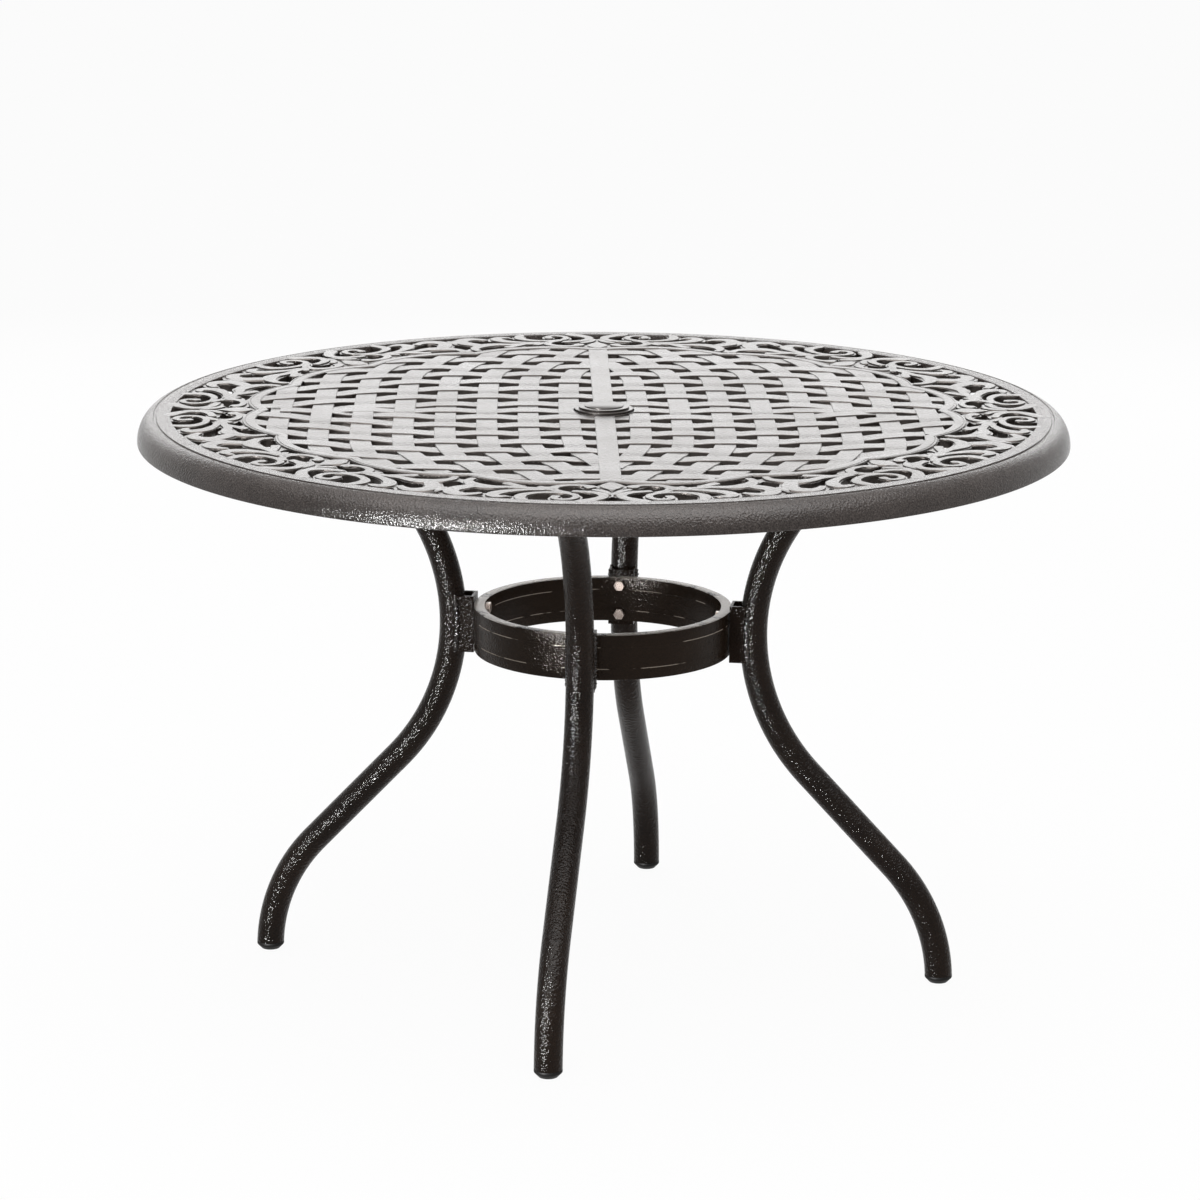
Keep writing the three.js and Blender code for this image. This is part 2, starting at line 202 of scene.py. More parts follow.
# Noises, as (waves to the metre, detail, roughness)
POOLS = (520.0, 3.0, 0.55)
GRAIN = (1900.0, 2.0, 0.5)
CLOUDS = (9.0, 4.0, 0.6)
# The next noise breaks the painted highlight lines into gaps
HIGHLIGHT_BREAK_NOISE = (26.0, 2.0, 0.5)
PLASTIC_GRAIN = (1500.0, 3.0, 0.5)
PLASTIC_CLOUDS = (40.0, 3.0, 0.5)
ZINC_STREAKS = (900.0, 4.0, 0.6)
ZINC_CLOUDS = (160.0, 2.0, 0.5)
# The middle stretch of a noise, and a wider one
NOISE_SPAN = (0.35, 0.65)
WIDE_NOISE_SPAN = (0.3, 0.7)
CELL_SMOOTHNESS = 0.45
SHEEN_BELOW, SHEEN_ABOVE = 0.05, 0.07
PLASTIC_SHEEN = 0.06
PLASTIC_GRAIN_HEIGHT = 0.00008
ZINC_STREAK_HEIGHT = 0.00006
ZINC_ROUGHNESS = (0.22, 0.42)
ZINC_DARK, ZINC_LIGHT = (0.20, 0.155, 0.13, 1), (0.50, 0.43, 0.39, 1)
# Width of the painted highlight lines, in millimetres, and how softly their gaps fade in
LINE_WIDTH = 1.5
LINE_FADE = 0.06


def new_material(name):
    material = bpy.data.materials.new(name)
    material.use_nodes = True
    material.node_tree.nodes.clear()
    return material, Graph(material.node_tree)


def finish_material(graph, inputs):
    shader = graph.wire("ShaderNodeBsdfPrincipled", None, inputs)
    graph.add("ShaderNodeOutputMaterial", None, {"Surface": shader})


def painted_highlight_line(graph, place, colour, height, highlight_colour, gaps):
    """The colour with a level band of painted highlight laid over it, broken by noise. More gaps
    leave less of the line.
    """
    level = graph.wire("ShaderNodeSeparateXYZ", None, {"Vector": place}, "Z")
    off = graph.math("ABSOLUTE", level - height * MM)
    highlight_shown = graph.spread(graph.noise(place, *HIGHLIGHT_BREAK_NOISE), (gaps, gaps + LINE_FADE))
    line = graph.spread(off, (LINE_WIDTH / 4 * MM, LINE_WIDTH / 2 * MM), 1.0, 0.0) * highlight_shown
    return graph.mix_colour(line, colour, highlight_colour)


def hammered_coat(name, dark, light, roughness, heights, shader_values, cell_waves=250.0,
                  speckle=0.4, painted_highlight_lines=()):
    """Dark bronze powder coat: domed hammer cells, pools, a fine grain and cloudy colour.
    The heights are those of the domes, the pools and the grain, in metres. A painted highlight
    line is (height in millimetres, colour, gaps): a band of painted highlight laid into the
    colour."""
    material, graph = new_material(name)
    place = graph.place()
    cells = graph.wire("ShaderNodeTexVoronoi", {"feature": "SMOOTH_F1"}, {
        "Vector": place, "Scale": cell_waves, "Smoothness": CELL_SMOOTHNESS,
        "Randomness": 1.0}, "Distance")
    pools, grain, clouds = (graph.noise(place, *noise) for noise in (POOLS, GRAIN, CLOUDS))
    dome_height, pool_height, grain_height = heights
    height = cells * cells * dome_height + pools * pool_height + grain * grain_height
    tone = graph.spread(clouds * (1 - speckle) + pools * speckle, NOISE_SPAN)
    colour = graph.mix_colour(tone, dark, light)
    # Bands of painted highlight laid into the colour
    for line in painted_highlight_lines:
        colour = painted_highlight_line(graph, place, colour, *line)
    sheen = graph.spread(clouds * 0.5 + grain * 0.5, NOISE_SPAN, roughness - SHEEN_BELOW,
                         roughness + SHEEN_ABOVE)
    finish_material(graph, {"Base Color": colour, "Roughness": sheen,
                            "Normal": graph.bump(height), **shader_values})
    return material


def moulded_plastic(name, dark, light, roughness, specular):
    """Dull plastic with a fine grain."""
    material, graph = new_material(name)
    place = graph.place()
    grain, clouds = graph.noise(place, *PLASTIC_GRAIN), graph.noise(place, *PLASTIC_CLOUDS)
    finish_material(graph, {
        "Base Color": graph.mix_colour(graph.spread(clouds, NOISE_SPAN), dark, light),
        "Roughness": graph.spread(grain, WIDE_NOISE_SPAN, roughness - PLASTIC_SHEEN,
                                  roughness + PLASTIC_SHEEN),
        "Normal": graph.bump(grain * PLASTIC_GRAIN_HEIGHT), "Specular IOR Level": specular})
    return material


def zinc_plate(name):
    """Bright plated steel with faint turning marks and a warm cast."""
    material, graph = new_material(name)
    place = graph.place()
    streaks, clouds = graph.noise(place, *ZINC_STREAKS), graph.noise(place, *ZINC_CLOUDS)
    finish_material(graph, {
        "Base Color": graph.mix_colour(clouds, ZINC_DARK, ZINC_LIGHT),
        "Roughness": graph.spread(streaks, WIDE_NOISE_SPAN, *ZINC_ROUGHNESS),
        "Metallic": 1.0, "Normal": graph.bump(streaks * ZINC_STREAK_HEIGHT)})
    return material


CAST_DARK, CAST_LIGHT = (0.026, 0.0205, 0.0175, 1), (0.044, 0.036, 0.031, 1)
RIM_DARK, RIM_LIGHT = (0.026, 0.021, 0.019, 1), (0.098, 0.082, 0.075, 1)
TUBE_DARK, TUBE_LIGHT = (0.0105, 0.0054, 0.0030, 1), (0.0235, 0.0132, 0.0078, 1)
RING_DARK, RING_LIGHT = (0.017, 0.0105, 0.0065, 1), (0.029, 0.0185, 0.0120, 1)
FOOT_DARK, FOOT_LIGHT = (0.006, 0.005, 0.005, 1), (0.012, 0.011, 0.010, 1)
TUBE_CELL_WAVES = 380.0

# The colour of the painted highlights and how broken they are: a light band painted along each of
# the ring's beads and over its top edge, in place of the light these edges catch
BEAD_PAINTED_HIGHLIGHT = ((0.34, 0.29, 0.24, 1), 0.5)
EDGE_PAINTED_HIGHLIGHT = ((0.42, 0.38, 0.34, 1), 0.36)


def height_on_ring(share):
    """A height on the ring, from its share of the way down from the top."""
    return WAIST_HEIGHT + RING_HEIGHT * (0.5 - share)


# Painted highlight lines along the ring's two beads
ring_painted_highlights = [(height_on_ring(share), *BEAD_PAINTED_HIGHLIGHT) for share in RING_BEAD_SHARES]
# A painted highlight over the ring's top face, which lies at this height, so the whole face is
# lightened in broken patches
ring_painted_highlights.append((height_on_ring(0), *EDGE_PAINTED_HIGHLIGHT))

field_coat = hammered_coat("field_bronze_coat", CAST_DARK, CAST_LIGHT, 0.30,
                           (0.0004, 0.00026, 0.00010), {"Metallic": 0.5})
rim_coat = hammered_coat("rim_bronze_coat", RIM_DARK, RIM_LIGHT, 0.15,
                         (0.00055, 0.00030, 0.00012), {"Specular IOR Level": 0.16},
                         cell_waves=400.0, speckle=0.75)
tube_coat = hammered_coat("tube_bronze_coat", TUBE_DARK, TUBE_LIGHT, 0.11,
                          (0.00085, 0.00030, 0.00010), {"Specular IOR Level": 0.10},
                          cell_waves=TUBE_CELL_WAVES)
# The ring's coat carries painted highlights along its beads and over its top face
ring_coat = hammered_coat("ring_bronze_coat", RING_DARK, RING_LIGHT, 0.11,
                          (0.00048, 0.00022, 0.00010),
                          {"Metallic": 0.05, "Specular IOR Level": 0.06},
                          cell_waves=TUBE_CELL_WAVES, painted_highlight_lines=ring_painted_highlights)
bracket_coat = hammered_coat("bracket_bronze_coat", TUBE_DARK, TUBE_LIGHT, 0.13,
                             (0.00062, 0.00024, 0.00010), {"Specular IOR Level": 0.04},
                             cell_waves=TUBE_CELL_WAVES)
weld_coat = hammered_coat("weld_bronze_coat", TUBE_DARK, TUBE_LIGHT, 0.11,
                          (0.0014, 0.0008, 0.00020), {"Specular IOR Level": 0.35},
                          cell_waves=330.0)
hub_plastic = hammered_coat("hub_bronze_plastic", CAST_DARK, CAST_LIGHT, 0.34,
                            (0.00012, 0.00008, 0.00005), {"Metallic": 0.4})
foot_plastic = moulded_plastic("foot_black_plastic", FOOT_DARK, FOOT_LIGHT, roughness=0.50,
                               specular=0.12)
bolt_zinc = zinc_plate("bolt_zinc")


# Mesh handling, with its lengths in millimetres
MERGE_DISTANCE = 0.002
SHORTEST_EDGE = 0.001
ON_AXIS = 1e-6
BEVEL_SEGMENTS = 2


def plain_object(name, mesh):
    piece = bpy.data.objects.new(name, mesh)
    bpy.context.scene.collection.objects.link(piece)
    return piece


def close_up(mesh, smooth_angle):
    """Merges doubles, turns the faces outwards and keeps edges past the angle sharp."""
    body = bmesh.new()
    body.from_mesh(mesh)
    bmesh.ops.remove_doubles(body, verts=body.verts, dist=MERGE_DISTANCE * MM)
    bmesh.ops.dissolve_degenerate(body, edges=body.edges, dist=SHORTEST_EDGE * MM)
    bmesh.ops.recalc_face_normals(body, faces=body.faces)
    body.to_mesh(mesh)
    body.free()
    mesh.polygons.foreach_set("use_smooth", [True] * len(mesh.polygons))
    mesh.set_sharp_from_angle(angle=math.radians(smooth_angle))
    mesh.update()


def settle(piece, material, nodes=(), body="table", smooth_angle=35):
    """The last step of every piece: closed mesh, finish, body and the nodes it stands for."""
    close_up(piece.data, smooth_angle)
    piece.data.materials.clear()
    piece.data.materials.append(material)
    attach(piece, body)
    if nodes:
        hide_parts(*nodes)


def mesh_piece(name, body):
    mesh = bpy.data.meshes.new(name)
    body.to_mesh(mesh)
    body.free()
    return plain_object(name, mesh)


def lathe(name, profile, segments, centre=(0, 0)):
    """A closed section of (radius, height) in millimetres, turned round an upright axis."""
    body = bmesh.new()
    rings = []
    for radius, height in profile:
        if radius < ON_AXIS:
            rings.append([body.verts.new((centre[0] * MM, centre[1] * MM, height * MM))])
            continue
        ring = []
        for step in range(segments):
            angle = FULL_TURN * step / segments
            ring.append(body.verts.new(((centre[0] + radius * math.cos(angle)) * MM,
                                        (centre[1] + radius * math.sin(angle)) * MM,
                                        height * MM)))
        rings.append(ring)
    for here, there in zip(rings, rings[1:] + rings[:1]):
        for step in range(segments):
            after = (step + 1) % segments
            corners = []
            for ring, place in ((here, step), (here, after), (there, after), (there, step)):
                vertex = ring[place % len(ring)]
                if vertex not in corners:
                    corners.append(vertex)
            if len(corners) > 2:
                body.faces.new(corners)
    return mesh_piece(name, body)


def bevelled_block(centre, size, ease, turn):
    """A box with rounded edges, in millimetres, turned round the table's axis."""
    body = bmesh.new()
    bmesh.ops.create_cube(body, size=1)
    bmesh.ops.scale(body, vec=[length * MM for length in size], verts=body.verts)
    bmesh.ops.bevel(body, geom=body.edges[:], offset=ease * MM, segments=BEVEL_SEGMENTS,
                    profile=0.5, affect="EDGES")
    place = Matrix.Rotation(turn, 4, "Z") @ Matrix.Translation([length * MM for length in centre])
    bmesh.ops.transform(body, matrix=place, verts=body.verts)
    return body


def join_bodies(name, bodies):
    whole = bmesh.new()
    for body in bodies:
        part = bpy.data.meshes.new("part_of_" + name)
        body.to_mesh(part)
        body.free()
        whole.from_mesh(part)
        bpy.data.meshes.remove(part)
    return mesh_piece(name, whole)


def smooth_line(points, steps, closed=False):
    """A rounded line through given points; every number a point carries is rounded too."""
    count = len(points)
    line = []
    spans = count if closed else count - 1
    for index in range(spans):
        def at(place):
            if closed:
                return points[place % count]
            return points[max(0, min(count - 1, place))]
        before, start, end, after = (at(index + shift) for shift in (-1, 0, 1, 2))
        for step in range(steps):
            share = step / steps
            line.append(tuple(
                0.5 * (2 * b + (c - a) * share + (2 * a - 5 * b + 4 * c - d) * share ** 2
                       + (3 * b - a - 3 * c + d) * share ** 3)
                for a, b, c, d in zip(before, start, end, after)))
    if not closed:
        line.append(tuple(points[-1]))
    return line


def curve_object(name, lines, closed=False):
    """Lines of (x, y, z, radius) in millimetres as one curve object."""
    curve = bpy.data.curves.new(name, "CURVE")
    curve.dimensions = "3D"
    for line in lines:
        spline = curve.splines.new("POLY")
        spline.points.add(len(line) - 1)
        for point, (x, y, z, radius) in zip(spline.points, line):
            point.co = (x * MM, y * MM, z * MM, 1)
            point.radius = radius
        spline.use_cyclic_u = closed
    return plain_object(name, curve)


# Geometry node trees
# A border stroke rises fully from this half width on, and its back lies below this share
FULL_RISE_WIDTH = 4
BACK_SHARE = -0.05


def geometry_tree(name, sizes):
    """A tree with named inputs. Returns its graph and the wires of those inputs."""
    tree = bpy.data.node_groups.new(name, "GeometryNodeTree")
    kinds = {int: "NodeSocketInt", float: "NodeSocketFloat", bool: "NodeSocketBool",
             bpy.types.Object: "NodeSocketObject", bpy.types.Material: "NodeSocketMaterial"}
    tree.interface.new_socket("Geometry", in_out="INPUT", socket_type="NodeSocketGeometry")
    for label, kind in sizes.items():
        tree.interface.new_socket(label, in_out="INPUT", socket_type=kinds[kind])
    tree.interface.new_socket("Material", in_out="INPUT", socket_type="NodeSocketMaterial")
    tree.interface.new_socket("Geometry", in_out="OUTPUT", socket_type="NodeSocketGeometry")
    graph = Graph(tree)
    entry = graph.add("NodeGroupInput")
    return graph, {socket.name: Wire(graph, socket) for socket in entry.outputs if socket.name}


def end_tree(graph, geometry, material):
    whole = graph.wire("GeometryNodeRealizeInstances", None, {"Geometry": geometry})
    dressed = graph.wire("GeometryNodeSetMaterial", None,
                         {"Geometry": whole, "Material": material})
    exit_node = graph.add("NodeGroupOutput")
    graph.tree.links.new(dressed.socket, exit_node.inputs[0])
    return graph.tree


def grow(name, tree, source, values, material):
    """Runs a tree on a source object and keeps the result as a plain mesh."""
    modifier = source.modifiers.new("grow", "NODES")
    modifier.node_group = tree
    values = dict(values, Material=material)
    for item in tree.interface.items_tree:
        if item.in_out == "INPUT" and item.name in values:
            modifier[item.identifier] = values[item.name]
    depsgraph = bpy.context.evaluated_depsgraph_get()
    mesh = bpy.data.meshes.new_from_object(source.evaluated_get(depsgraph))
    mesh.name = name
    bpy.data.objects.remove(source)
    for label in ("rise", "reach"):
        if label in mesh.attributes:
            mesh.attributes.remove(mesh.attributes[label])
    return plain_object(name, mesh)


def sweep_tree(upright):
    """Sweeps a drawn section along every line of the source, which gives it its scale."""
    graph, sizes = geometry_tree("upright_sweep" if upright else "free_sweep",
                                 {"Section": bpy.types.Object, "Close ends": bool})
    path = sizes["Geometry"]
    if upright:
        path = graph.wire("GeometryNodeSetCurveNormal", {"mode": "Z_UP"}, {"Curve": path})
    section = graph.wire("GeometryNodeObjectInfo", {"transform_space": "ORIGINAL"},
                         {"Object": sizes["Section"]}, "Geometry")
    body = graph.wire("GeometryNodeCurveToMesh", None, {
        "Curve": path, "Profile Curve": section, "Scale": graph.wire("GeometryNodeInputRadius"),
        "Fill Caps": sizes["Close ends"]})
    return end_tree(graph, body, sizes["Material"])


def relief_tree():
    """Carves flat strokes with a rounded back: the source's radius is half the stroke's width.
    One repeat is swept, then set round the border."""
    graph, sizes = geometry_tree("border_relief", {
        "Rise": float, "Depth": float, "Shoulder": float, "Section points": int,
        "Repeats": int})
    path = graph.wire("GeometryNodeSetCurveNormal", {"mode": "Z_UP"},
                      {"Curve": sizes["Geometry"]})
    width = graph.wire("GeometryNodeInputRadius")
    path = graph.note(path, "reach", width)
    ring = graph.wire("GeometryNodeCurvePrimitiveCircle", {"mode": "RADIUS"},
                      {"Resolution": sizes["Section points"], "Radius": 1.0})
    place = graph.add("ShaderNodeSeparateXYZ", None,
                      {"Vector": graph.wire("GeometryNodeInputPosition")})
    across, up = Wire(graph, place.outputs["X"]), Wire(graph, place.outputs["Y"])
    ring = graph.note(ring, "rise", up)
    flat = graph.wire("ShaderNodeCombineXYZ", None, {"X": across})
    section = graph.wire("GeometryNodeSetPosition", None, {"Geometry": ring, "Position": flat})
    stroke = graph.wire("GeometryNodeCurveToMesh", None, {
        "Curve": path, "Profile Curve": section, "Scale": width, "Fill Caps": True})
    rise = graph.noted("rise")
    crest = graph.math("POWER", graph.math("MAXIMUM", rise, 0.0), sizes["Shoulder"])
    fullness = graph.math("MINIMUM", graph.noted("reach") * (1.0 / (FULL_RISE_WIDTH * MM)), 1.0)
    lift = crest * sizes["Rise"] * fullness
    sink = graph.math("LESS_THAN", rise, BACK_SHARE) * sizes["Depth"]
    offset = graph.wire("ShaderNodeCombineXYZ", None, {"Z": lift - sink})
    stroke = graph.wire("GeometryNodeSetPosition", None, {"Geometry": stroke, "Offset": offset})
    index = graph.wire("GeometryNodeInputIndex")
    turn = graph.math("DIVIDE", index * FULL_TURN, sizes["Repeats"])
    stations = graph.wire("GeometryNodeMeshLine", {"mode": "OFFSET"}, {
        "Count": sizes["Repeats"], "Offset": (0.0, 0.0, 0.0)})
    return end_tree(graph, graph.turned_copies(stations, stroke, turn), sizes["Material"])


UPRIGHT_SWEEP = sweep_tree(True)
FREE_SWEEP = sweep_tree(False)


def sweep(name, lines, section, material, closed=False, upright=True):
    """One mesh from a section of (across, up) swept along lines, both in millimetres."""
    outline = curve_object(name + "_section", [[(x, y, 0, 1) for x, y in section]], closed=True)
    source = curve_object(name + "_path", lines, closed=closed)
    piece = grow(name, UPRIGHT_SWEEP if upright else FREE_SWEEP, source,
                 {"Section": outline, "Close ends": not closed}, material)
    bpy.data.objects.remove(outline)
    return piece


def outward_section(points):
    """A section for an upright sweep round the table: its lines run anticlockwise, so the
    sweep's own sides are the other way about."""
    return [(x, -y) for x, y in points]


def polar(radius, angle):
    return radius * math.cos(angle), radius * math.sin(angle)


def leg_turn(index):
    """The angle at which a leg stands round the table."""
    return LEG_TURN + FULL_TURN * index / len(CORNERS)


# The rim
RIM_SEGMENTS = 256
RIM_EASE = 0.8
RIM_EASE_MIDDLE = 0.25
# The groove in the rim's flat band, as (radius, depth)
GROOVE = ((574.9, 0), (575.4, 0.4), (575.7, 1.6), (578.8, 1.6), (579.2, 0.7))
ROLL_FROM = 579.6
OUTER_ROLL_STEPS = 16
INNER_ROLL_STEPS = 10
SKIRT_TAPER = 0.1


def rim_profile():
    """Flat band, a groove, the roll down to the skirt, and back inside it."""
    roll_start = TABLE_RADIUS - RIM_ROLL_WIDTH
    roll_height = RIM_DROP - SKIRT_EDGE
    bottom = TABLE_HEIGHT - RIM_DROP
    skirt_inside = TABLE_RADIUS - SKIRT_WALL

    def roll(width, height, angle):
        return (roll_start + width * math.cos(angle),
                bottom + SKIRT_EDGE + height * math.sin(angle))

    points = [(BORDER_OUTER, TABLE_HEIGHT - TOP_THICKNESS),
              (BORDER_OUTER, TABLE_HEIGHT - RIM_EASE),
              (BORDER_OUTER + RIM_EASE_MIDDLE, TABLE_HEIGHT - RIM_EASE_MIDDLE),
              (BORDER_OUTER + RIM_EASE, TABLE_HEIGHT)]
    points += [(radius, TABLE_HEIGHT - depth) for radius, depth in GROOVE]
    start = math.acos((ROLL_FROM - roll_start) / RIM_ROLL_WIDTH)
    points += [roll(RIM_ROLL_WIDTH, roll_height, start * (1 - step / OUTER_ROLL_STEPS))
               for step in range(OUTER_ROLL_STEPS + 1)]
    points += [(TABLE_RADIUS - SKIRT_TAPER, bottom + SKIRT_EDGE / 2),
               (TABLE_RADIUS - RIM_EASE, bottom), (skirt_inside + RIM_EASE, bottom),
               (skirt_inside, bottom + RIM_EASE)]
    points += [roll(RIM_ROLL_WIDTH - SKIRT_WALL, roll_height - TOP_THICKNESS,
                    math.pi / 2 * step / INNER_ROLL_STEPS)
               for step in range(INNER_ROLL_STEPS + 1)]
    return points


rim = lathe("cast_rim", rim_profile(), RIM_SEGMENTS)
settle(rim, rim_coat, ["table_top"], smooth_angle=28)


# The frame of the field
FRAME_STEPS = 18
# Its moulding from the outer edge to the inner one, as (distance in, height): a rounded bar
# with a groove near its outer edge
FRAME_OUTLINE = ((0, -TOP_THICKNESS), (0, -0.7), (0.5, 0.1), (1.3, 0.4), (2.4, 0.4), (2.9, -0.3),
                 (3.5, -0.3), (4, 0.4), (8, 0.65), (13, 0.5), (14.7, 0.3), (15.5, -0.05),
                 (FRAME_WIDTH, -0.8), (FRAME_WIDTH, -TOP_THICKNESS))


def frame_edge(angle):
    """The frame's outer radius, which swells and dips in scallops."""
    within = (angle / SCALLOP_ANGLE) % 1
    from_crown = 2 * within - 1
    return BORDER_INNER - FRAME_DIP + FRAME_SCALLOP * (1 - from_crown * from_crown)


def frame_line():
    """The frame's middle line as points of (x, y)."""
    count = 2 * BORDER_REPEATS * FRAME_STEPS
    angles = [FULL_TURN * step / count for step in range(count)]
    return [polar(frame_edge(angle) - FRAME_WIDTH / 2, angle) for angle in angles]


frame_section = outward_section([(FRAME_WIDTH / 2 - inwards, height)
                                 for inwards, height in FRAME_OUTLINE])
frame_path = [(x, y, TABLE_HEIGHT, 1) for x, y in frame_line()]
field_frame = sweep("field_frame", [frame_path], frame_section, field_coat, closed=True)
settle(field_frame, field_coat, smooth_angle=22)


# The woven field
WEAVE_STEP = 0.65
STRAP_EASE = 0.6
STRAP_TOP_SHARES = (0.45, 0.0, -0.45)
STRAP_HIDDEN_END = 8
STRAP_STOP = 1.0
STRAP_TUCK = 0.35
FAR_TUCK_SHARE = 1.25
STRAP_COUNT = 8
LEVEL_SHARES = (0.0, 0.27, 0.36, 0.5, 0.64, 0.73)
CROSSING_ROUNDS = 12
BAND_LIFT = 0.1
BAND_GAP = 2
BAND_STATIONS = (120, 240, 360)
BAND_HIDDEN_END = 4


def strap_section(width):
    """A flat strap's section with eased corners, its top face at height 0."""
    half = width / 2
    across, down = half - STRAP_EASE, STRAP_EASE - (TOP_THICKNESS - WEAVE_STEP)
    points = []
    for x, y, start in ((across, down, -90), (across, -STRAP_EASE, 0),
                        (-across, -STRAP_EASE, 90), (-across, down, 180)):
        if start == 90:
            points += [(half * share, 0.0) for share in STRAP_TOP_SHARES]
        for angle in (math.radians(start), math.radians(start + 90)):
            points.append((x + STRAP_EASE * math.cos(angle), y + STRAP_EASE * math.sin(angle)))
    return outward_section(points)


def strap_bow(along):
    """How far a strap has bowed in towards its cross band."""
    past = abs(along) - BOW_START
    return BOW_SLOPE * (past + math.hypot(past, BOW_SOFTNESS))


def strap_centre(index):
    """Signed distance of a strap from its cross band at the table's middle."""
    if index >= 0:
        return FIRST_STRAP + STRAP_PITCH * index
    return -(FIRST_STRAP + STRAP_PITCH * (-1 - index))


def bowed(centre, along):
    """A strap's distance from its cross band at a distance along it."""
    side = 1 if centre > 0 else -1
    return centre - side * strap_bow(along)


def crossing(centre, other_centre):
    """Where a strap meets one that runs the other way, as the distance along it."""
    along = other_centre
    for _ in range(CROSSING_ROUNDS):
        along = bowed(other_centre, bowed(centre, along))
    return along


def strap_levels(centre, over, band_over):
    """Crossings along a strap, as (distance along, level), lowest first. Straps that have
    bowed in under the cross band don't count."""
    knots = [(0.0, 1 if band_over else -1)]
    for other in range(-STRAP_COUNT - 1, STRAP_COUNT + 1):
        place = crossing(centre, strap_centre(other))
        if abs(place) > CROSS_BAND_WIDTH / 2:
            knots.append((place, 1 if over(other) else -1))
    return sorted(knots)


def inside_field(x, y):
    angle = math.atan2(y, x)
    return math.hypot(x, y) < frame_edge(angle) - FRAME_WIDTH + STRAP_HIDDEN_END


def level_height(level):
    return TABLE_HEIGHT - WEAVE_STEP + WEAVE_STEP * level


def tuck(from_band, side):
    """How far a strap that bows into a cross band has slipped under it."""
    near = max(0.0, 1 - abs(from_band) / STRAP_WIDTH)
    return near * STRAP_TUCK * (1.0 if side > 0 else FAR_TUCK_SHARE)


def woven_line(knots, place_of):
    """Points (across, along, height) of a strap, from crossing to crossing."""
    line = []
    for (start, low), (end, high) in zip(knots, knots[1:]):
        for share in LEVEL_SHARES:
            along = start + (end - start) * share
            first, last = LEVEL_SHARES[1], LEVEL_SHARES[-1]
            t = max(0.0, min(1.0, (share - first) / (last - first)))
            level = low + (high - low) * (3 * t * t - 2 * t * t * t)
            line.append((place_of(along), along, level_height(level)))
    return line


def strap_lines(columns):
    """The straps of one direction, each cut off at the cross band and under the frame."""
    lines = []
    for index in range(-STRAP_COUNT, STRAP_COUNT):
        centre = strap_centre(index)
        knots = strap_levels(centre, lambda other: (index + other) % 2 == (1 if columns else 0),
                             columns and index % 2 == 1)
        line = []
        for across, along, z in woven_line(knots, lambda along: bowed(centre, along)):
            x, y = (across, along) if columns else (along, across)
            if inside_field(x, y) and abs(across) > STRAP_STOP and across * centre > 0:
                line.append((x, y, z - tuck(across, centre), 1))
        if len(line) > 2:
            lines.append(line)
    return lines


def cross_band_lines():
    """The two halves of the level band from front to back, and of the woven one across it."""
    reach = BORDER_INNER + FRAME_SCALLOP - FRAME_DIP - FRAME_WIDTH
    stations = (HUB_BORE + BAND_GAP, *BAND_STATIONS, reach)
    level = [[(0, side * y, TABLE_HEIGHT + BAND_LIFT, 1) for y in stations] for side in (1, -1)]
    knots = [(0.0, 1)]
    for index in range(-STRAP_COUNT, STRAP_COUNT):
        knots.append((strap_centre(index), -1 if index % 2 == 1 else 1))
    points = woven_line(sorted(knots), lambda along: 0.0)
    woven = [[(x, y, z, 1) for y, x, z in points if HUB_BORE < side * x < reach + BAND_HIDDEN_END]
             for side in (1, -1)]
    return level, woven


front_band_lines, side_band_lines = cross_band_lines()
for piece_name, lines, width in (
        ("woven_columns", strap_lines(True), STRAP_WIDTH),
        ("woven_rows", strap_lines(False), STRAP_WIDTH),
        ("cross_band_front_back", front_band_lines, CROSS_BAND_WIDTH),
        ("cross_band_left_right", side_band_lines, CROSS_BAND_WIDTH)):
    settle(sweep(piece_name, lines, strap_section(width), field_coat), field_coat,
           smooth_angle=20)


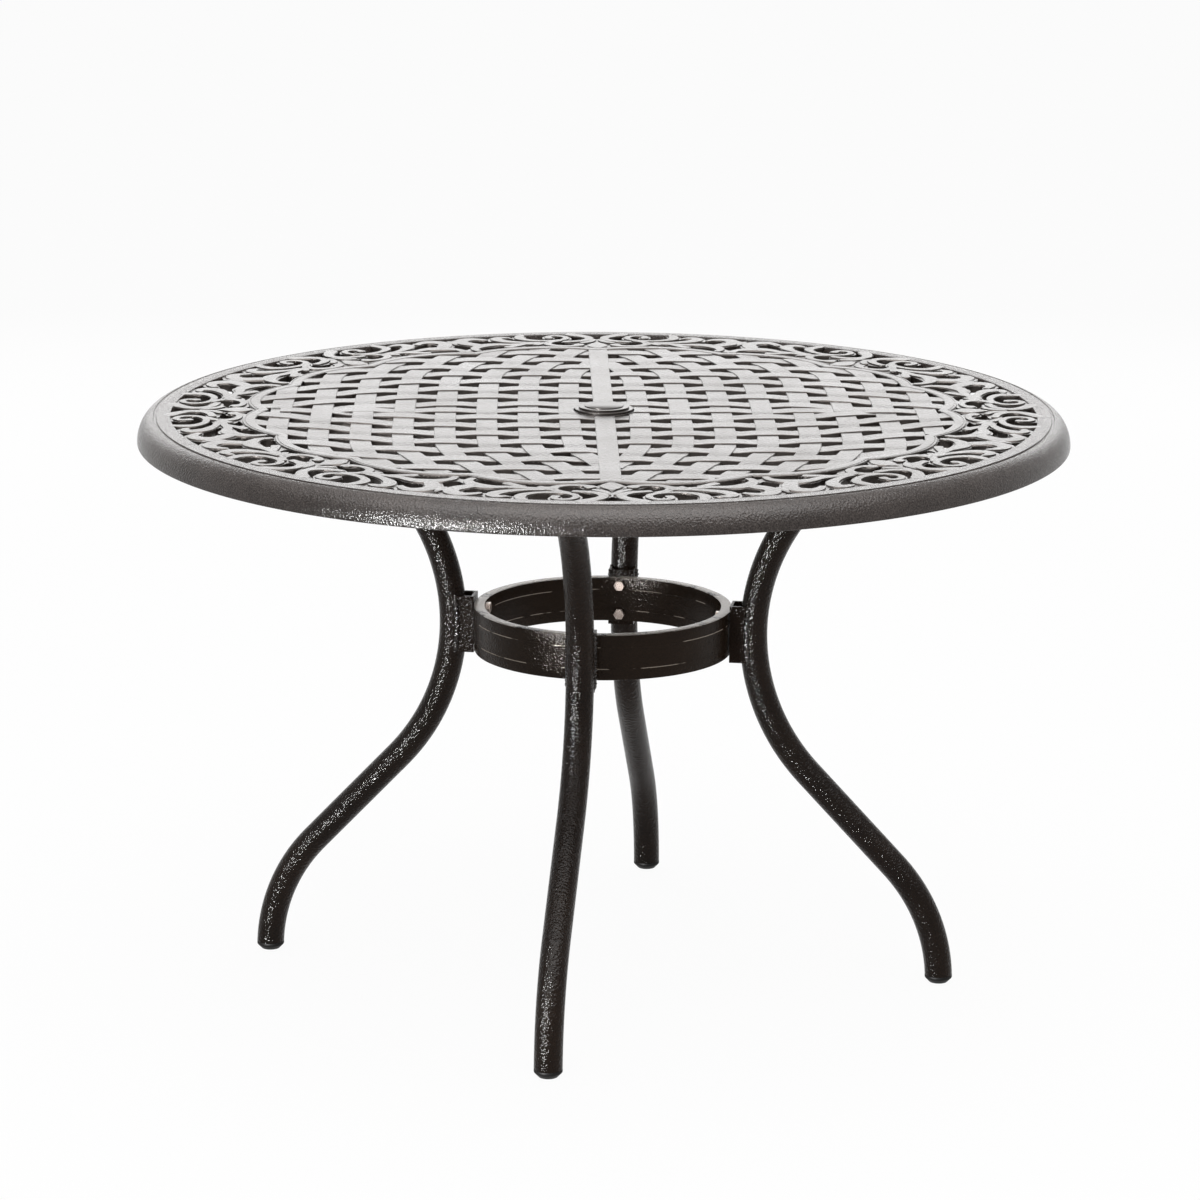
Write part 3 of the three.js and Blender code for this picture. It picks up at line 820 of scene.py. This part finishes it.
# The scroll border
# It was drawn over half a repeat, at about 8 units to the millimetre: x runs from the
# cusp axis to the lobe axis, y inwards from just outside the rim.
DRAWN_HALF = 1568
DRAWN_RIM = 103
DRAWN_DEPTH = 854.5
DRAWN_SCALE = DRAWN_DEPTH / BORDER_WIDTH
OPENING_STEPS = 3
STROKE_STEPS = 4
STROKE_END_SHARES = (0.35, 0.65, 0.86, 0.97)
STROKE_BLUNTNESS = 0.3
STROKE_RISE = 1.8
STROKE_DEPTH = 8.6
STROKE_SHOULDER = 0.14
STROKE_SECTION_POINTS = 14
WEB_DROP = 1.7
WEB_DEPTH = 10.5
WEB_OVERLAP = 4
OUTLINE_TOLERANCE = 0.001
WITHOUT_HOLES = 2
SIDE_OPENINGS = (
    # crescent behind the cusp leaf
    ((385, 85), (300, 130), (215, 205), (150, 280), (135, 340), (160, 410), (235, 455),
     (310, 462), (300, 400), (266, 320), (280, 215), (330, 150)),
    # bay of the tight scroll
    ((520, 85), (545, 150), (565, 225), (555, 300), (500, 335), (450, 300), (440, 250),
     (450, 215), (415, 205), (375, 245), (360, 300), (385, 350), (440, 395), (520, 420),
     (610, 412), (690, 370), (738, 295), (742, 225), (722, 150), (716, 85)),
    # sliver between the tight scroll and the second leaf
    ((870, 272), (925, 243), (982, 262), (972, 308), (930, 380), (850, 450), (760, 497),
     (660, 515), (540, 492), (650, 470), (745, 438), (820, 378)),
    # notches under the rim
    ((808, 85), (862, 135), (880, 175), (905, 140), (940, 85)),
    ((1065, 85), (1105, 145), (1150, 208), (1200, 150), (1262, 85)),
    # drop inside the broad scroll, with its tail
    ((1300, 270), (1352, 320), (1365, 385), (1335, 455), (1270, 500), (1195, 480), (1110, 500),
     (1010, 553), (920, 562), (985, 492), (1080, 410), (1130, 342), (1215, 320)),
    # almond under the broad scroll
    ((1025, 680), (1110, 683), (1200, 690), (1300, 708), (1385, 752), (1425, 810), (1412, 868),
     (1365, 892), (1250, 862), (1122, 822), (1100, 745)),
    # kite between the frame and the stem
    ((598, 787), (685, 757), (765, 680), (830, 705), (867, 765), (835, 803), (700, 806)),
    # bay under the cusp leaf
    ((410, 530), (480, 578), (517, 650), (490, 715), (430, 755), (372, 765), (318, 725),
     (285, 688), (230, 670), (135, 722), (108, 682), (175, 650), (230, 615), (350, 600),
     (385, 558)),
    # corner between the teardrop, the ball and the frame
    ((150, 832), (185, 866), (250, 882), (150, 905), (60, 935), (118, 880)),
)
CUSP_OPENINGS = (((-118, 85), (-60, 220), (0, 350), (60, 220), (118, 85)),)
LOBE_OPENINGS = (
    ((1432, 85), (1500, 150), (1568, 205), (1636, 150), (1704, 85)),
    ((1568, 445), (1502, 540), (1462, 610), (1464, 655), (1515, 712), (1568, 748),
     (1621, 712), (1672, 655), (1674, 610), (1634, 540)),
    ((1568, 858), (1488, 912), (1568, 957), (1648, 912)),
)
# Strokes as (x, y, half width)
SIDE_STROKES = (
    # tight scroll, from its ball to the rim
    ((503, 285, 50), (508, 235, 40), (493, 187, 38), (445, 158, 38), (385, 172, 38),
     (341, 215, 38), (322, 272, 38), (325, 330, 38), (352, 387, 38), (407, 432, 38),
     (480, 458, 38), (560, 460, 38), (643, 444, 40), (712, 408, 44), (768, 358, 50),
     (802, 300, 58), (809, 240, 62), (800, 180, 58), (772, 95, 50)),
    # second leaf
    ((893, 226, 16), (945, 200, 40), (1012, 190, 58), (1058, 240, 68), (1056, 310, 74),
     (1015, 395, 68), (940, 460, 55), (850, 515, 44), (750, 552, 38), (650, 560, 30)),
    # broad scroll
    ((1188, 283, 36), (1238, 228, 50), (1308, 190, 66), (1385, 202, 80), (1445, 262, 84),
     (1470, 335, 84), (1455, 415, 84), (1410, 490, 84), (1362, 560, 74)),
    # stem from the cusp side to the lobe
    ((560, 590, 44), (690, 612, 46), (850, 618, 46), (1000, 622, 50), (1120, 585, 62),
     (1245, 585, 84), (1360, 640, 76), (1440, 720, 58), (1478, 800, 46), (1470, 880, 40)),
    # cusp leaf, outer lobe
    ((252, 96, 78), (165, 178, 66), (98, 265, 58), (80, 345, 52), (102, 425, 52),
     (165, 487, 50), (250, 518, 44), (343, 532, 44)),
    # cusp leaf, inner lobe
    ((34, 405, 26), (50, 490, 34), (98, 562, 42), (168, 610, 36)),
    # stem round the bay, to its ball
    ((420, 470, 42), (522, 540, 46), (570, 640, 52), (540, 732, 48), (450, 790, 40),
     (340, 806, 36), (262, 790, 44), (216, 748, 66)),
    # small leaf tip beside the kite
    ((600, 610, 36), (655, 648, 40), (702, 688, 36)),
    # curl beside the almond
    ((850, 640, 36), (925, 690, 46), (995, 738, 50), (1052, 768, 54)),
)
AXIS_STROKES = (
    # teardrop on the cusp axis
    ((0, 556, 8), (0, 620, 34), (0, 690, 82), (0, 775, 120), (0, 850, 100), (0, 910, 54),
     (0, 950, 18)),
    # bridge over the mid oval, on the lobe axis
    ((1568, 215, 22), (1568, 290, 40), (1568, 370, 40), (1568, 440, 20)),
)


def drawn_point(x, y, mirror=1):
    """A drawn point's place on the table, in millimetres."""
    angle = mirror * (x / DRAWN_HALF) * SCALLOP_ANGLE
    return polar(BORDER_OUTER - (y - DRAWN_RIM) / DRAWN_SCALE, angle)


def round_ends(line):
    """Adds a rounded end at both ends of a stroke."""
    def ending(last, before):
        run = math.hypot(last[0] - before[0], last[1] - before[1])
        ux, uy = (last[0] - before[0]) / run, (last[1] - before[1]) / run
        return [(last[0] + ux * last[2] * ahead, last[1] + uy * last[2] * ahead,
                 last[2] * math.sqrt(max(0.0, 1 - ahead * ahead)) + STROKE_BLUNTNESS)
                for ahead in STROKE_END_SHARES]
    start = ending(line[0], line[1])
    end = ending(line[-1], line[-2])
    return start[::-1] + list(line) + end


def stroke_line(stroke, mirror):
    line = round_ends(smooth_line(stroke, STROKE_STEPS))
    return [(*drawn_point(x, y, mirror), TABLE_HEIGHT - WEB_DROP, width / DRAWN_SCALE * MM)
            for x, y, width in line]


def border_strokes():
    """One whole repeat of the border's strokes, from cusp axis to cusp axis."""
    lines = [stroke_line(stroke, mirror) for stroke in SIDE_STROKES for mirror in (1, -1)]
    return lines + [stroke_line(stroke, 1) for stroke in AXIS_STROKES]


def border_web():
    """The thin plate behind the strokes, with every opening cut through it."""
    outlines = [[polar(BORDER_OUTER + WEB_OVERLAP, FULL_TURN * step / RIM_SEGMENTS)
                 for step in range(RIM_SEGMENTS)], frame_line()]
    groups = ((SIDE_OPENINGS, 1), (SIDE_OPENINGS, -1), (CUSP_OPENINGS, 1), (LOBE_OPENINGS, 1))
    for repeat in range(BORDER_REPEATS):
        turn = Matrix.Rotation(FULL_TURN * repeat / BORDER_REPEATS, 2)
        for openings, mirror in groups:
            for outline in openings:
                outlines.append([turn @ Vector(drawn_point(x, y, mirror))
                                 for x, y in smooth_line(outline, OPENING_STEPS, closed=True)])
    points, loops = [], []
    for outline in outlines:
        loops.append(list(range(len(points), len(points) + len(outline))))
        points += [Vector(point) for point in outline]
    flat = delaunay_2d_cdt(points, [], loops, WITHOUT_HOLES, OUTLINE_TOLERANCE)
    body = bmesh.new()
    top, bottom = ([body.verts.new((point.x * MM, point.y * MM, height * MM)) for point in flat[0]]
                   for height in (TABLE_HEIGHT - WEB_DROP, TABLE_HEIGHT - WEB_DEPTH))
    edges = set()
    for face in flat[2]:
        body.faces.new([top[place] for place in face])
        body.faces.new([bottom[place] for place in reversed(face)])
        edges.update(zip(face, face[1:] + face[:1]))
    for here, there in sorted(edges):
        if (there, here) not in edges:
            body.faces.new((top[there], top[here], bottom[here], bottom[there]))
    loose = [corner for corner in body.verts if not corner.link_faces]
    bmesh.ops.delete(body, geom=loose, context="VERTS")
    return mesh_piece("border_web", body)


settle(border_web(), field_coat, smooth_angle=30)
strokes_source = curve_object("border_strokes", border_strokes())
border_scrolls = grow("border_scrolls", relief_tree(), strokes_source, {
    "Rise": STROKE_RISE * MM, "Depth": STROKE_DEPTH * MM, "Shoulder": STROKE_SHOULDER,
    "Section points": STROKE_SECTION_POINTS, "Repeats": BORDER_REPEATS}, field_coat)
settle(border_scrolls, field_coat, smooth_angle=30)


# Under the top, and the hub
PAD_OVERLAP = 2
PAD_EASE = 1.2


def leg_pads():
    """The four pads that the legs' plates are bolted to."""
    depth = TABLE_HEIGHT - TOP_THICKNESS + PAD_OVERLAP - PAD_UNDERSIDE
    return join_bodies("leg_pads", [
        bevelled_block((LEG_TOP_RADIUS, 0, PAD_UNDERSIDE + depth / 2),
                       (PLATE_WIDTH, PLATE_LENGTH, depth), PAD_EASE, leg_turn(index))
        for index in range(len(CORNERS))])


settle(leg_pads(), field_coat)

# How far the hub pieces' edges are eased, from the finest to the roundest
HAIR_EASE = 0.2
FINE_EASE = 0.3
EASE = 0.4
SOFT_EASE = 0.5
ROUND_EASE = 0.6

COLLAR_SEGMENTS = 96
COLLAR_BOTTOM = TABLE_HEIGHT - HUB_DEPTH
COLLAR_BORE_EASE = 1
COLLAR_EASE = 1.5
collar = lathe("hub_collar", [
    (HUB_BORE, COLLAR_BOTTOM + COLLAR_BORE_EASE), (HUB_BORE + COLLAR_BORE_EASE, COLLAR_BOTTOM),
    (HUB_RADIUS - COLLAR_EASE, COLLAR_BOTTOM), (HUB_RADIUS, COLLAR_BOTTOM + COLLAR_EASE),
    (HUB_RADIUS, TABLE_HEIGHT - EASE), (HUB_RADIUS - SOFT_EASE, TABLE_HEIGHT),
    (HUB_BORE, TABLE_HEIGHT)], COLLAR_SEGMENTS)
settle(collar, field_coat)

LINING_SEGMENTS = 128
LINING_WALL = 3.2
LINING_OUTER = POLE_RADIUS + LINING_WALL
LINING_BOTTOM = 726.8
FLANGE_RADIUS = 37.5
FLANGE_SEAT = 750.3
FLANGE_TOP = 752.8
lining = lathe("hub_lining", [
    (POLE_RADIUS, LINING_BOTTOM + SOFT_EASE), (POLE_RADIUS + SOFT_EASE, LINING_BOTTOM),
    (LINING_OUTER - ROUND_EASE, LINING_BOTTOM), (LINING_OUTER, LINING_BOTTOM + ROUND_EASE),
    (LINING_OUTER, FLANGE_SEAT), (FLANGE_RADIUS - FINE_EASE, FLANGE_SEAT),
    (FLANGE_RADIUS, FLANGE_SEAT + EASE), (FLANGE_RADIUS, FLANGE_TOP - EASE),
    (FLANGE_RADIUS - SOFT_EASE, FLANGE_TOP), (POLE_RADIUS + ROUND_EASE, FLANGE_TOP),
    (POLE_RADIUS, FLANGE_TOP - ROUND_EASE)], LINING_SEGMENTS)
settle(lining, hub_plastic, ["umbrella_ring"])

PLUG_SEAT = 753.1
PLUG_TOP = 755.3
PLUG_RADIUS = 32.5
BUTTON_TOP = 756.4
BUTTON_RADIUS = 24.8
BUTTON_TAPER = 0.1
BUTTON_GAP = 0.8
BUTTON_GROOVE = PLUG_TOP - SOFT_EASE
STEM_RADIUS = 25.2
STEM_WALL = 2
STEM_BOTTOM = PLUG_SEAT - PLUG_STEM_DEPTH
plug = lathe("hub_plug", [
    (0, PLUG_SEAT), (STEM_RADIUS - STEM_WALL, PLUG_SEAT), (STEM_RADIUS - STEM_WALL, STEM_BOTTOM),
    (STEM_RADIUS - EASE, STEM_BOTTOM), (STEM_RADIUS, STEM_BOTTOM + ROUND_EASE),
    (STEM_RADIUS, PLUG_SEAT), (PLUG_RADIUS - HAIR_EASE, PLUG_SEAT),
    (PLUG_RADIUS, PLUG_SEAT + EASE), (PLUG_RADIUS, PLUG_TOP - FINE_EASE),
    (PLUG_RADIUS - EASE, PLUG_TOP), (BUTTON_RADIUS + BUTTON_GAP, PLUG_TOP),
    (BUTTON_RADIUS + SOFT_EASE, BUTTON_GROOVE), (BUTTON_RADIUS + BUTTON_TAPER, BUTTON_GROOVE),
    (BUTTON_RADIUS, BUTTON_TOP - HAIR_EASE), (BUTTON_RADIUS - FINE_EASE, BUTTON_TOP),
    (0, BUTTON_TOP)], LINING_SEGMENTS)
settle(plug, hub_plastic, ["umbrella_plug"], body="umbrella_plug")


# The legs
LEG_BOTTOM = 10.3
LEG_POINTS = 90
TUBE_SIDES = 32
OVERRUN_BELOW = 14
OVERRUN_ABOVE = 30
# A foot cap's section, as (radius, height): tread, collar and the plug inside the tube
FOOT_CAP_SECTION = ((0, 0), (11.2, 0), (12.0, 0.25), (17.2, 5.6), (17.9, 6.6), (18, 7.4),
                    (18, 9.4), (17.6, 10.0), (15.0, 10.0), (13.4, 22), (0, 22))
FOOT_CAP_SEGMENTS = 48


def leg_plane_point(height):
    """Radius of the leg's centre line at a height, from its two bends and straights."""
    waist_run = WAIST_BEND * math.sin(LEG_SLOPE)
    waist_centre = WAIST_RADIUS + WAIST_BEND
    foot_run = FOOT_BEND * math.sin(LEG_SLOPE)
    if height < foot_run:
        return FOOT_RADIUS - FOOT_BEND + math.sqrt(FOOT_BEND ** 2 - height ** 2)
    rise = abs(height - WAIST_HEIGHT)
    if rise < waist_run:
        return waist_centre - math.sqrt(WAIST_BEND ** 2 - rise ** 2)
    waist_shift = WAIST_BEND * (1 - math.cos(LEG_SLOPE))
    return WAIST_RADIUS + waist_shift + (rise - waist_run) * math.tan(LEG_SLOPE)


def run_on(before, end, length):
    """A point straight on past the end of a line."""
    end = Vector(end)
    return end + (end - Vector(before)).normalized() * length


def leg_line(turn):
    """A leg's centre line, run on past both ends so that they can be cut level."""
    line = []
    for step in range(LEG_POINTS + 1):
        height = LEG_BOTTOM + (LEG_TOP - LEG_BOTTOM) * step / LEG_POINTS
        line.append((*polar(leg_plane_point(height), turn), height))
    below = run_on(line[1], line[0], OVERRUN_BELOW)
    above = run_on(line[-2], line[-1], OVERRUN_ABOVE)
    return [(*point, 1) for point in (below, *line, above)]


def flatten_ends(mesh, low, high):
    """Trims a swept tube to level ends, as a saw and a welding jig leave it."""
    body = bmesh.new()
    body.from_mesh(mesh)
    for height, side in ((low, -1), (high, 1)):
        geometry = body.verts[:] + body.edges[:] + body.faces[:]
        cut = bmesh.ops.bisect_plane(body, geom=geometry, plane_co=(0, 0, height * MM),
                                     plane_no=(0, 0, side), clear_outer=True)
        rim_edges = [item for item in cut["geom_cut"] if isinstance(item, bmesh.types.BMEdge)]
        bmesh.ops.edgeloop_fill(body, edges=rim_edges)
    body.to_mesh(mesh)
    body.free()


tube_section = [polar(TUBE_RADIUS, FULL_TURN * step / TUBE_SIDES) for step in range(TUBE_SIDES)]
for index, corner in enumerate(CORNERS):
    leg = sweep("leg_" + corner + "_tube", [leg_line(leg_turn(index))], tube_section, tube_coat,
                upright=False)
    flatten_ends(leg.data, LEG_BOTTOM, LEG_TOP)
    settle(leg, tube_coat, ["leg_" + corner])
    cap = lathe("foot_cap_" + corner + "_moulded", FOOT_CAP_SECTION, FOOT_CAP_SEGMENTS,
                polar(FOOT_CAP_RADIUS, leg_turn(index)))
    settle(cap, foot_plastic, ["foot_cap_" + corner])


# The ring and its brackets
RING_SEGMENTS = 180
RING_EASE = 1.2
RING_EASE_MIDDLE = 0.35
BEAD_RISE = 0.3
BEAD_WIDTH = 1.8
# A bead's outline, as shares of its width and of its rise
BEAD_SHARES = ((-0.5, 0), (-0.25, 0.8), (0, 1), (0.25, 0.8), (0.5, 0))


def ring_profile():
    """The ring's section: a flat bar with eased corners and two beads on either face."""
    low, high = height_on_ring(1), height_on_ring(0)
    outside, inside = [], []
    for share in sorted(RING_BEAD_SHARES, reverse=True):
        for shift, rise in BEAD_SHARES:
            height = height_on_ring(share) + shift * BEAD_WIDTH
            outside.append((RING_OUTER + rise * BEAD_RISE, height))
            inside.append((RING_INNER - rise * BEAD_RISE, height))
    bottom = [(RING_INNER, low + RING_EASE),
              (RING_INNER + RING_EASE_MIDDLE, low + RING_EASE_MIDDLE),
              (RING_INNER + RING_EASE, low), (RING_OUTER - RING_EASE, low),
              (RING_OUTER - RING_EASE_MIDDLE, low + RING_EASE_MIDDLE),
              (RING_OUTER, low + RING_EASE)]
    top = [(r, low + high - z) for r, z in bottom[::-1]]
    return bottom + outside + top + inside[::-1]


ring = lathe("tie_ring", ring_profile(), RING_SEGMENTS)
settle(ring, ring_coat, ["leg_ring"], smooth_angle=25)

BRACKET_WIDTH = 34
BRACKET_WALL = 3.5
BRACKET_PAST_RING = 8
BRACKET_RISE = RING_HEIGHT / 2 + BRACKET_PAST_RING
BRACKET_ROWS = 9
BRACKET_EASE = 0.7
CRISP_ANGLE = math.radians(25)
TUBE_CLEARANCE = 0.1
WEB_GAP = 0.3
WEB_START = RING_OUTER + WEB_GAP
WELD_STEPS = 40
WELD_SIDES = 10
WELD_PAST_BRACKET = 1
WELD_INSET = 1.4
WELD_SHIFT = 0.6
WELD_WIDTH = 4.0
WELD_END_SHARE = 0.35
WELD_END_SLOPE = 6
# How a weld swells and wanders, as waves of (height, pace, start)
WELD_SWELL = ((0.7, 84, 1), (0.4, 171, 0))
WELD_WANDER = ((0.25, 41, 1.3), (0.15, 97, 0))


def tube_front(offset, height=WAIST_HEIGHT):
    """Radius at which a leg's tube meets a plane beside its middle."""
    reach = TUBE_RADIUS + TUBE_CLEARANCE
    return leg_plane_point(height) - math.sqrt(reach * reach - offset * offset)


def bracket_body(turn):
    """The channel: a web on the ring and two flanges that reach the tube."""
    half = BRACKET_WIDTH / 2
    bay = half - BRACKET_WALL
    web_end = WEB_START + BRACKET_WALL
    body = bmesh.new()
    rings = []
    for row in range(BRACKET_ROWS):
        height = WAIST_HEIGHT + BRACKET_RISE * (2 * row / (BRACKET_ROWS - 1) - 1)
        outer, inner = tube_front(half, height), tube_front(bay, height)
        outline = [(WEB_START, -half), (outer, -half), (inner, -bay), (web_end, -bay),
                   (web_end, bay), (inner, bay), (outer, half), (WEB_START, half)]
        rings.append([body.verts.new((x * MM, y * MM, height * MM)) for x, y in outline])
    body.faces.new(rings[0][::-1])
    body.faces.new(rings[-1])
    for here, there in zip(rings, rings[1:]):
        for place in range(len(here)):
            after = (place + 1) % len(here)
            body.faces.new((here[place], here[after], there[after], there[place]))
    crisp = [edge for edge in body.edges if edge.calc_face_angle() > CRISP_ANGLE]
    bmesh.ops.bevel(body, geom=crisp, offset=BRACKET_EASE * MM, segments=BEVEL_SEGMENTS,
                    profile=0.5, affect="EDGES")
    bmesh.ops.rotate(body, verts=body.verts, matrix=Matrix.Rotation(turn, 3, "Z"))
    return body


def mixed(waves, share, side):
    """The sum of a few waves that don't keep step, at a share of the way along a weld."""
    return sum(height * math.sin(share * pace + side * start) for height, pace, start in waves)


def weld_lines(turn):
    """Beads where the flanges meet the tube: uneven ropes down both sides, thin at the ends."""
    lines = []
    half = BRACKET_WIDTH / 2
    for side in (1, -1):
        line = []
        for step in range(WELD_STEPS + 1):
            share = step / WELD_STEPS
            height = WAIST_HEIGHT + (2 * share - 1) * (BRACKET_RISE + WELD_PAST_BRACKET)
            width = WELD_WIDTH + mixed(WELD_SWELL, share, side)
            width *= min(1.0, WELD_END_SLOPE * min(share, 1 - share) + WELD_END_SHARE)
            out = tube_front(half, height) - WELD_INSET + mixed(WELD_WANDER, share, side)
            place = Vector((out, side * (half - WELD_SHIFT), 0))
            place.rotate(Matrix.Rotation(turn, 3, "Z"))
            line.append((place.x, place.y, height, width))
        lines.append(line)
    return lines


bead_section = [polar(1, FULL_TURN * step / WELD_SIDES) for step in range(WELD_SIDES)]
for index, corner in enumerate(CORNERS):
    bracket = mesh_piece("bracket_" + corner, bracket_body(leg_turn(index)))
    settle(bracket, bracket_coat, ["ring_bracket_" + corner], smooth_angle=30)
    welds = sweep("bracket_welds_" + corner, weld_lines(leg_turn(index)), bead_section, weld_coat,
                  upright=False)
    settle(welds, weld_coat, smooth_angle=60)


# The ring's bolt heads, set round the inside of the ring
BOLT_FLATS = 13
FLAT_SHARE = math.cos(math.pi / 6)
HEX_RADIUS = BOLT_FLATS / 2 / FLAT_SHARE
HEAD_GAP = 0.6
HEAD_SIDES = 12
# A head's rows, as (distance out from its seat, share of its size): six-sided up to the
# chamfer, then round
HEAD_ROWS = ((1.0, 1.0), (-4.6, 1.0), (-5.3, 0.86), (-5.25, 0.72), (-5.0, 0.66))
CHAMFER_SHARE = 1.08


def bolt_head():
    """One hex head with a chamfered, slightly dished face, its axis along +X."""
    body = bmesh.new()
    rings = []
    for out, share in HEAD_ROWS:
        ring_verts = []
        for step in range(HEAD_SIDES):
            angle = FULL_TURN * step / HEAD_SIDES
            radius = HEX_RADIUS * (FLAT_SHARE if step % 2 else 1.0)
            if share < 1:
                radius = HEX_RADIUS * share * FLAT_SHARE * CHAMFER_SHARE
            ring_verts.append(body.verts.new(((RING_INNER - HEAD_GAP + out) * MM,
                                              radius * math.cos(angle) * MM,
                                              radius * math.sin(angle) * MM)))
        rings.append(ring_verts)
    for here, there in zip(rings, rings[1:]):
        for step in range(HEAD_SIDES):
            after = (step + 1) % HEAD_SIDES
            body.faces.new((here[step], here[after], there[after], there[step]))
    body.faces.new(rings[0])
    body.faces.new(rings[-1])
    return mesh_piece("bolt_head", body)


def bolt_stations():
    """A point for each bolt, on the table's axis, with its turn stored on it."""
    mesh = bpy.data.meshes.new("bolt_stations")
    places, turns = [], []
    for index in range(len(CORNERS)):
        for side in (1, -1):
            places.append((0, 0, (WAIST_HEIGHT + side * RING_BOLT_SPREAD) * MM))
            turns.append(leg_turn(index))
    mesh.from_pydata(places, [], [])
    mesh.attributes.new("turn", "FLOAT", "POINT").data.foreach_set("value", turns)
    return plain_object("bolt_stations", mesh)


def bolt_tree():
    """Sets the bolt at every point, turned as the point says."""
    graph, sizes = geometry_tree("ring_bolts", {"Bolt": bpy.types.Object})
    head = graph.wire("GeometryNodeObjectInfo", {"transform_space": "ORIGINAL"},
                      {"Object": sizes["Bolt"], "As Instance": True}, "Geometry")
    whole = graph.turned_copies(sizes["Geometry"], head, graph.noted("turn"))
    return end_tree(graph, whole, sizes["Material"])


head = bolt_head()
ring_bolts = grow("ring_bolt_heads", bolt_tree(), bolt_stations(), {"Bolt": head}, bolt_zinc)
bpy.data.objects.remove(head)
settle(ring_bolts, bolt_zinc,
       ["ring_bolt_%s_%d" % (corner, number) for corner in CORNERS for number in (1, 2)],
       smooth_angle=25)


# Finishes of the nodes that stay
NODE_FINISH = {"leg_plate": tube_coat, "plate_bolt": bolt_zinc, "ring_nut": bolt_zinc}
for node_name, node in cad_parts.items():
    for start, finish in NODE_FINISH.items():
        if node_name.startswith(start):
            node.data.materials.clear()
            node.data.materials.append(finish)


# Floor, light and camera
WHITE = (1, 1, 1, 1)
FLOOR_COLOUR = (0.85, 0.85, 0.85, 1)
FLOOR_GLOW_SHARE = 0.95
FLOOR_REACH = 40
AMBIENT_STRENGTH = 0.35
BACKDROP_STRENGTH = 1.0
# Lamps in metres, as (name, place, aim, (width, height), brightness, whether it gives diffuse
# light as well as glints)
LAMPS = (
    ("overhead_box", (0, -0.7, 2.9), (0, -0.7, 0), (2.8, 3.8), 2.5, True),
    ("rear_box", (0, 4.6, 2.1), (0, 0, 0.9), (6.0, 1.9), 2.6, True),
    ("side_strip", (-2.0, -2.75, 0.75), (0, 0, 0.6), (0.20, 0.75), 950.0, False),
    ("top_gloss", (-0.2, -1.7, 2.85), (-0.2, -1.5, 0), (5.2, 2.8), 7.0, False),
)


def seen_directly(graph):
    """1 for camera, glossy and see-through rays."""
    path = graph.add("ShaderNodeLightPath")
    kinds = [Wire(graph, path.outputs[name])
             for name in ("Is Camera Ray", "Is Glossy Ray", "Is Transmission Ray")]
    return graph.math("MINIMUM", kinds[0] + kinds[1] + kinds[2], 1.0)


def studio_floor():
    """A pale floor that keeps the table's shadow."""
    material, graph = new_material("studio_floor")
    graph.add("ShaderNodeOutputMaterial", None, {"Surface": graph.wire(
        "ShaderNodeMixShader", None, {
            "Fac": seen_directly(graph) * FLOOR_GLOW_SHARE,
            1: graph.wire("ShaderNodeBsdfDiffuse", None, {"Color": FLOOR_COLOUR}),
            2: graph.wire("ShaderNodeEmission", None, {"Color": WHITE, "Strength": 1.0})})})
    mesh = bpy.data.meshes.new("floor")
    mesh.from_pydata([(x * FLOOR_REACH, y * FLOOR_REACH, 0)
                      for x, y in ((-1, -1), (1, -1), (1, 1), (-1, 1))], [], [(0, 1, 2, 3)])
    mesh.materials.append(material)
    return mesh


floor_mesh = studio_floor()
plain_object("studio_floor", floor_mesh)

world = bpy.data.worlds.new("studio")
bpy.context.scene.world = world
world.use_nodes = True
world.node_tree.nodes.clear()
world_graph = Graph(world.node_tree)
ambient, backdrop = (
    world_graph.wire("ShaderNodeBackground", None, {"Color": WHITE, "Strength": strength})
    for strength in (AMBIENT_STRENGTH, BACKDROP_STRENGTH))
world_graph.add("ShaderNodeOutputWorld", None, {"Surface": world_graph.wire(
    "ShaderNodeMixShader", None, {"Fac": seen_directly(world_graph), 1: ambient, 2: backdrop})})


def softbox(name, place, target, size, radiance, diffuse):
    """A rectangular lamp, hidden from the camera."""
    width, height = size
    lamp = bpy.data.lights.new(name, "AREA")
    lamp.shape = "RECTANGLE"
    lamp.size, lamp.size_y = width, height
    lamp.energy = radiance * math.pi * width * height
    box = bpy.data.objects.new(name, lamp)
    bpy.context.scene.collection.objects.link(box)
    box.location = place
    aim = Vector(target) - Vector(place)
    box.rotation_euler = aim.to_track_quat("-Z", "Y").to_euler()
    box.visible_camera = False
    box.visible_diffuse = diffuse


for lamp_row in LAMPS:
    softbox(*lamp_row)

CAMERA_PLACE = Vector((-0.1142, -5.6087, 1.8416))
CAMERA_HEADING = math.radians(1.128)
CAMERA_PITCH = math.radians(13.473)
CAMERA_ROLL = math.radians(0.303)
FOCAL_PIXELS = 4424.6
PHOTO_PIXELS = 1200
SENSOR_WIDTH = 36
camera_data = bpy.data.cameras.new("camera")
camera_data.sensor_width = SENSOR_WIDTH
camera_data.lens = FOCAL_PIXELS / PHOTO_PIXELS * SENSOR_WIDTH
camera = bpy.data.objects.new("camera", camera_data)
bpy.context.scene.collection.objects.link(camera)
turned = (Matrix.Rotation(-CAMERA_HEADING, 4, "Z")
          @ Matrix.Rotation(math.pi / 2 - CAMERA_PITCH, 4, "X")
          @ Matrix.Rotation(CAMERA_ROLL, 4, "Z"))
camera.matrix_world = Matrix.Translation(CAMERA_PLACE) @ turned
bpy.context.scene.camera = camera
bpy.context.scene.view_settings.view_transform = "Standard"

bpy.context.view_layer.update()
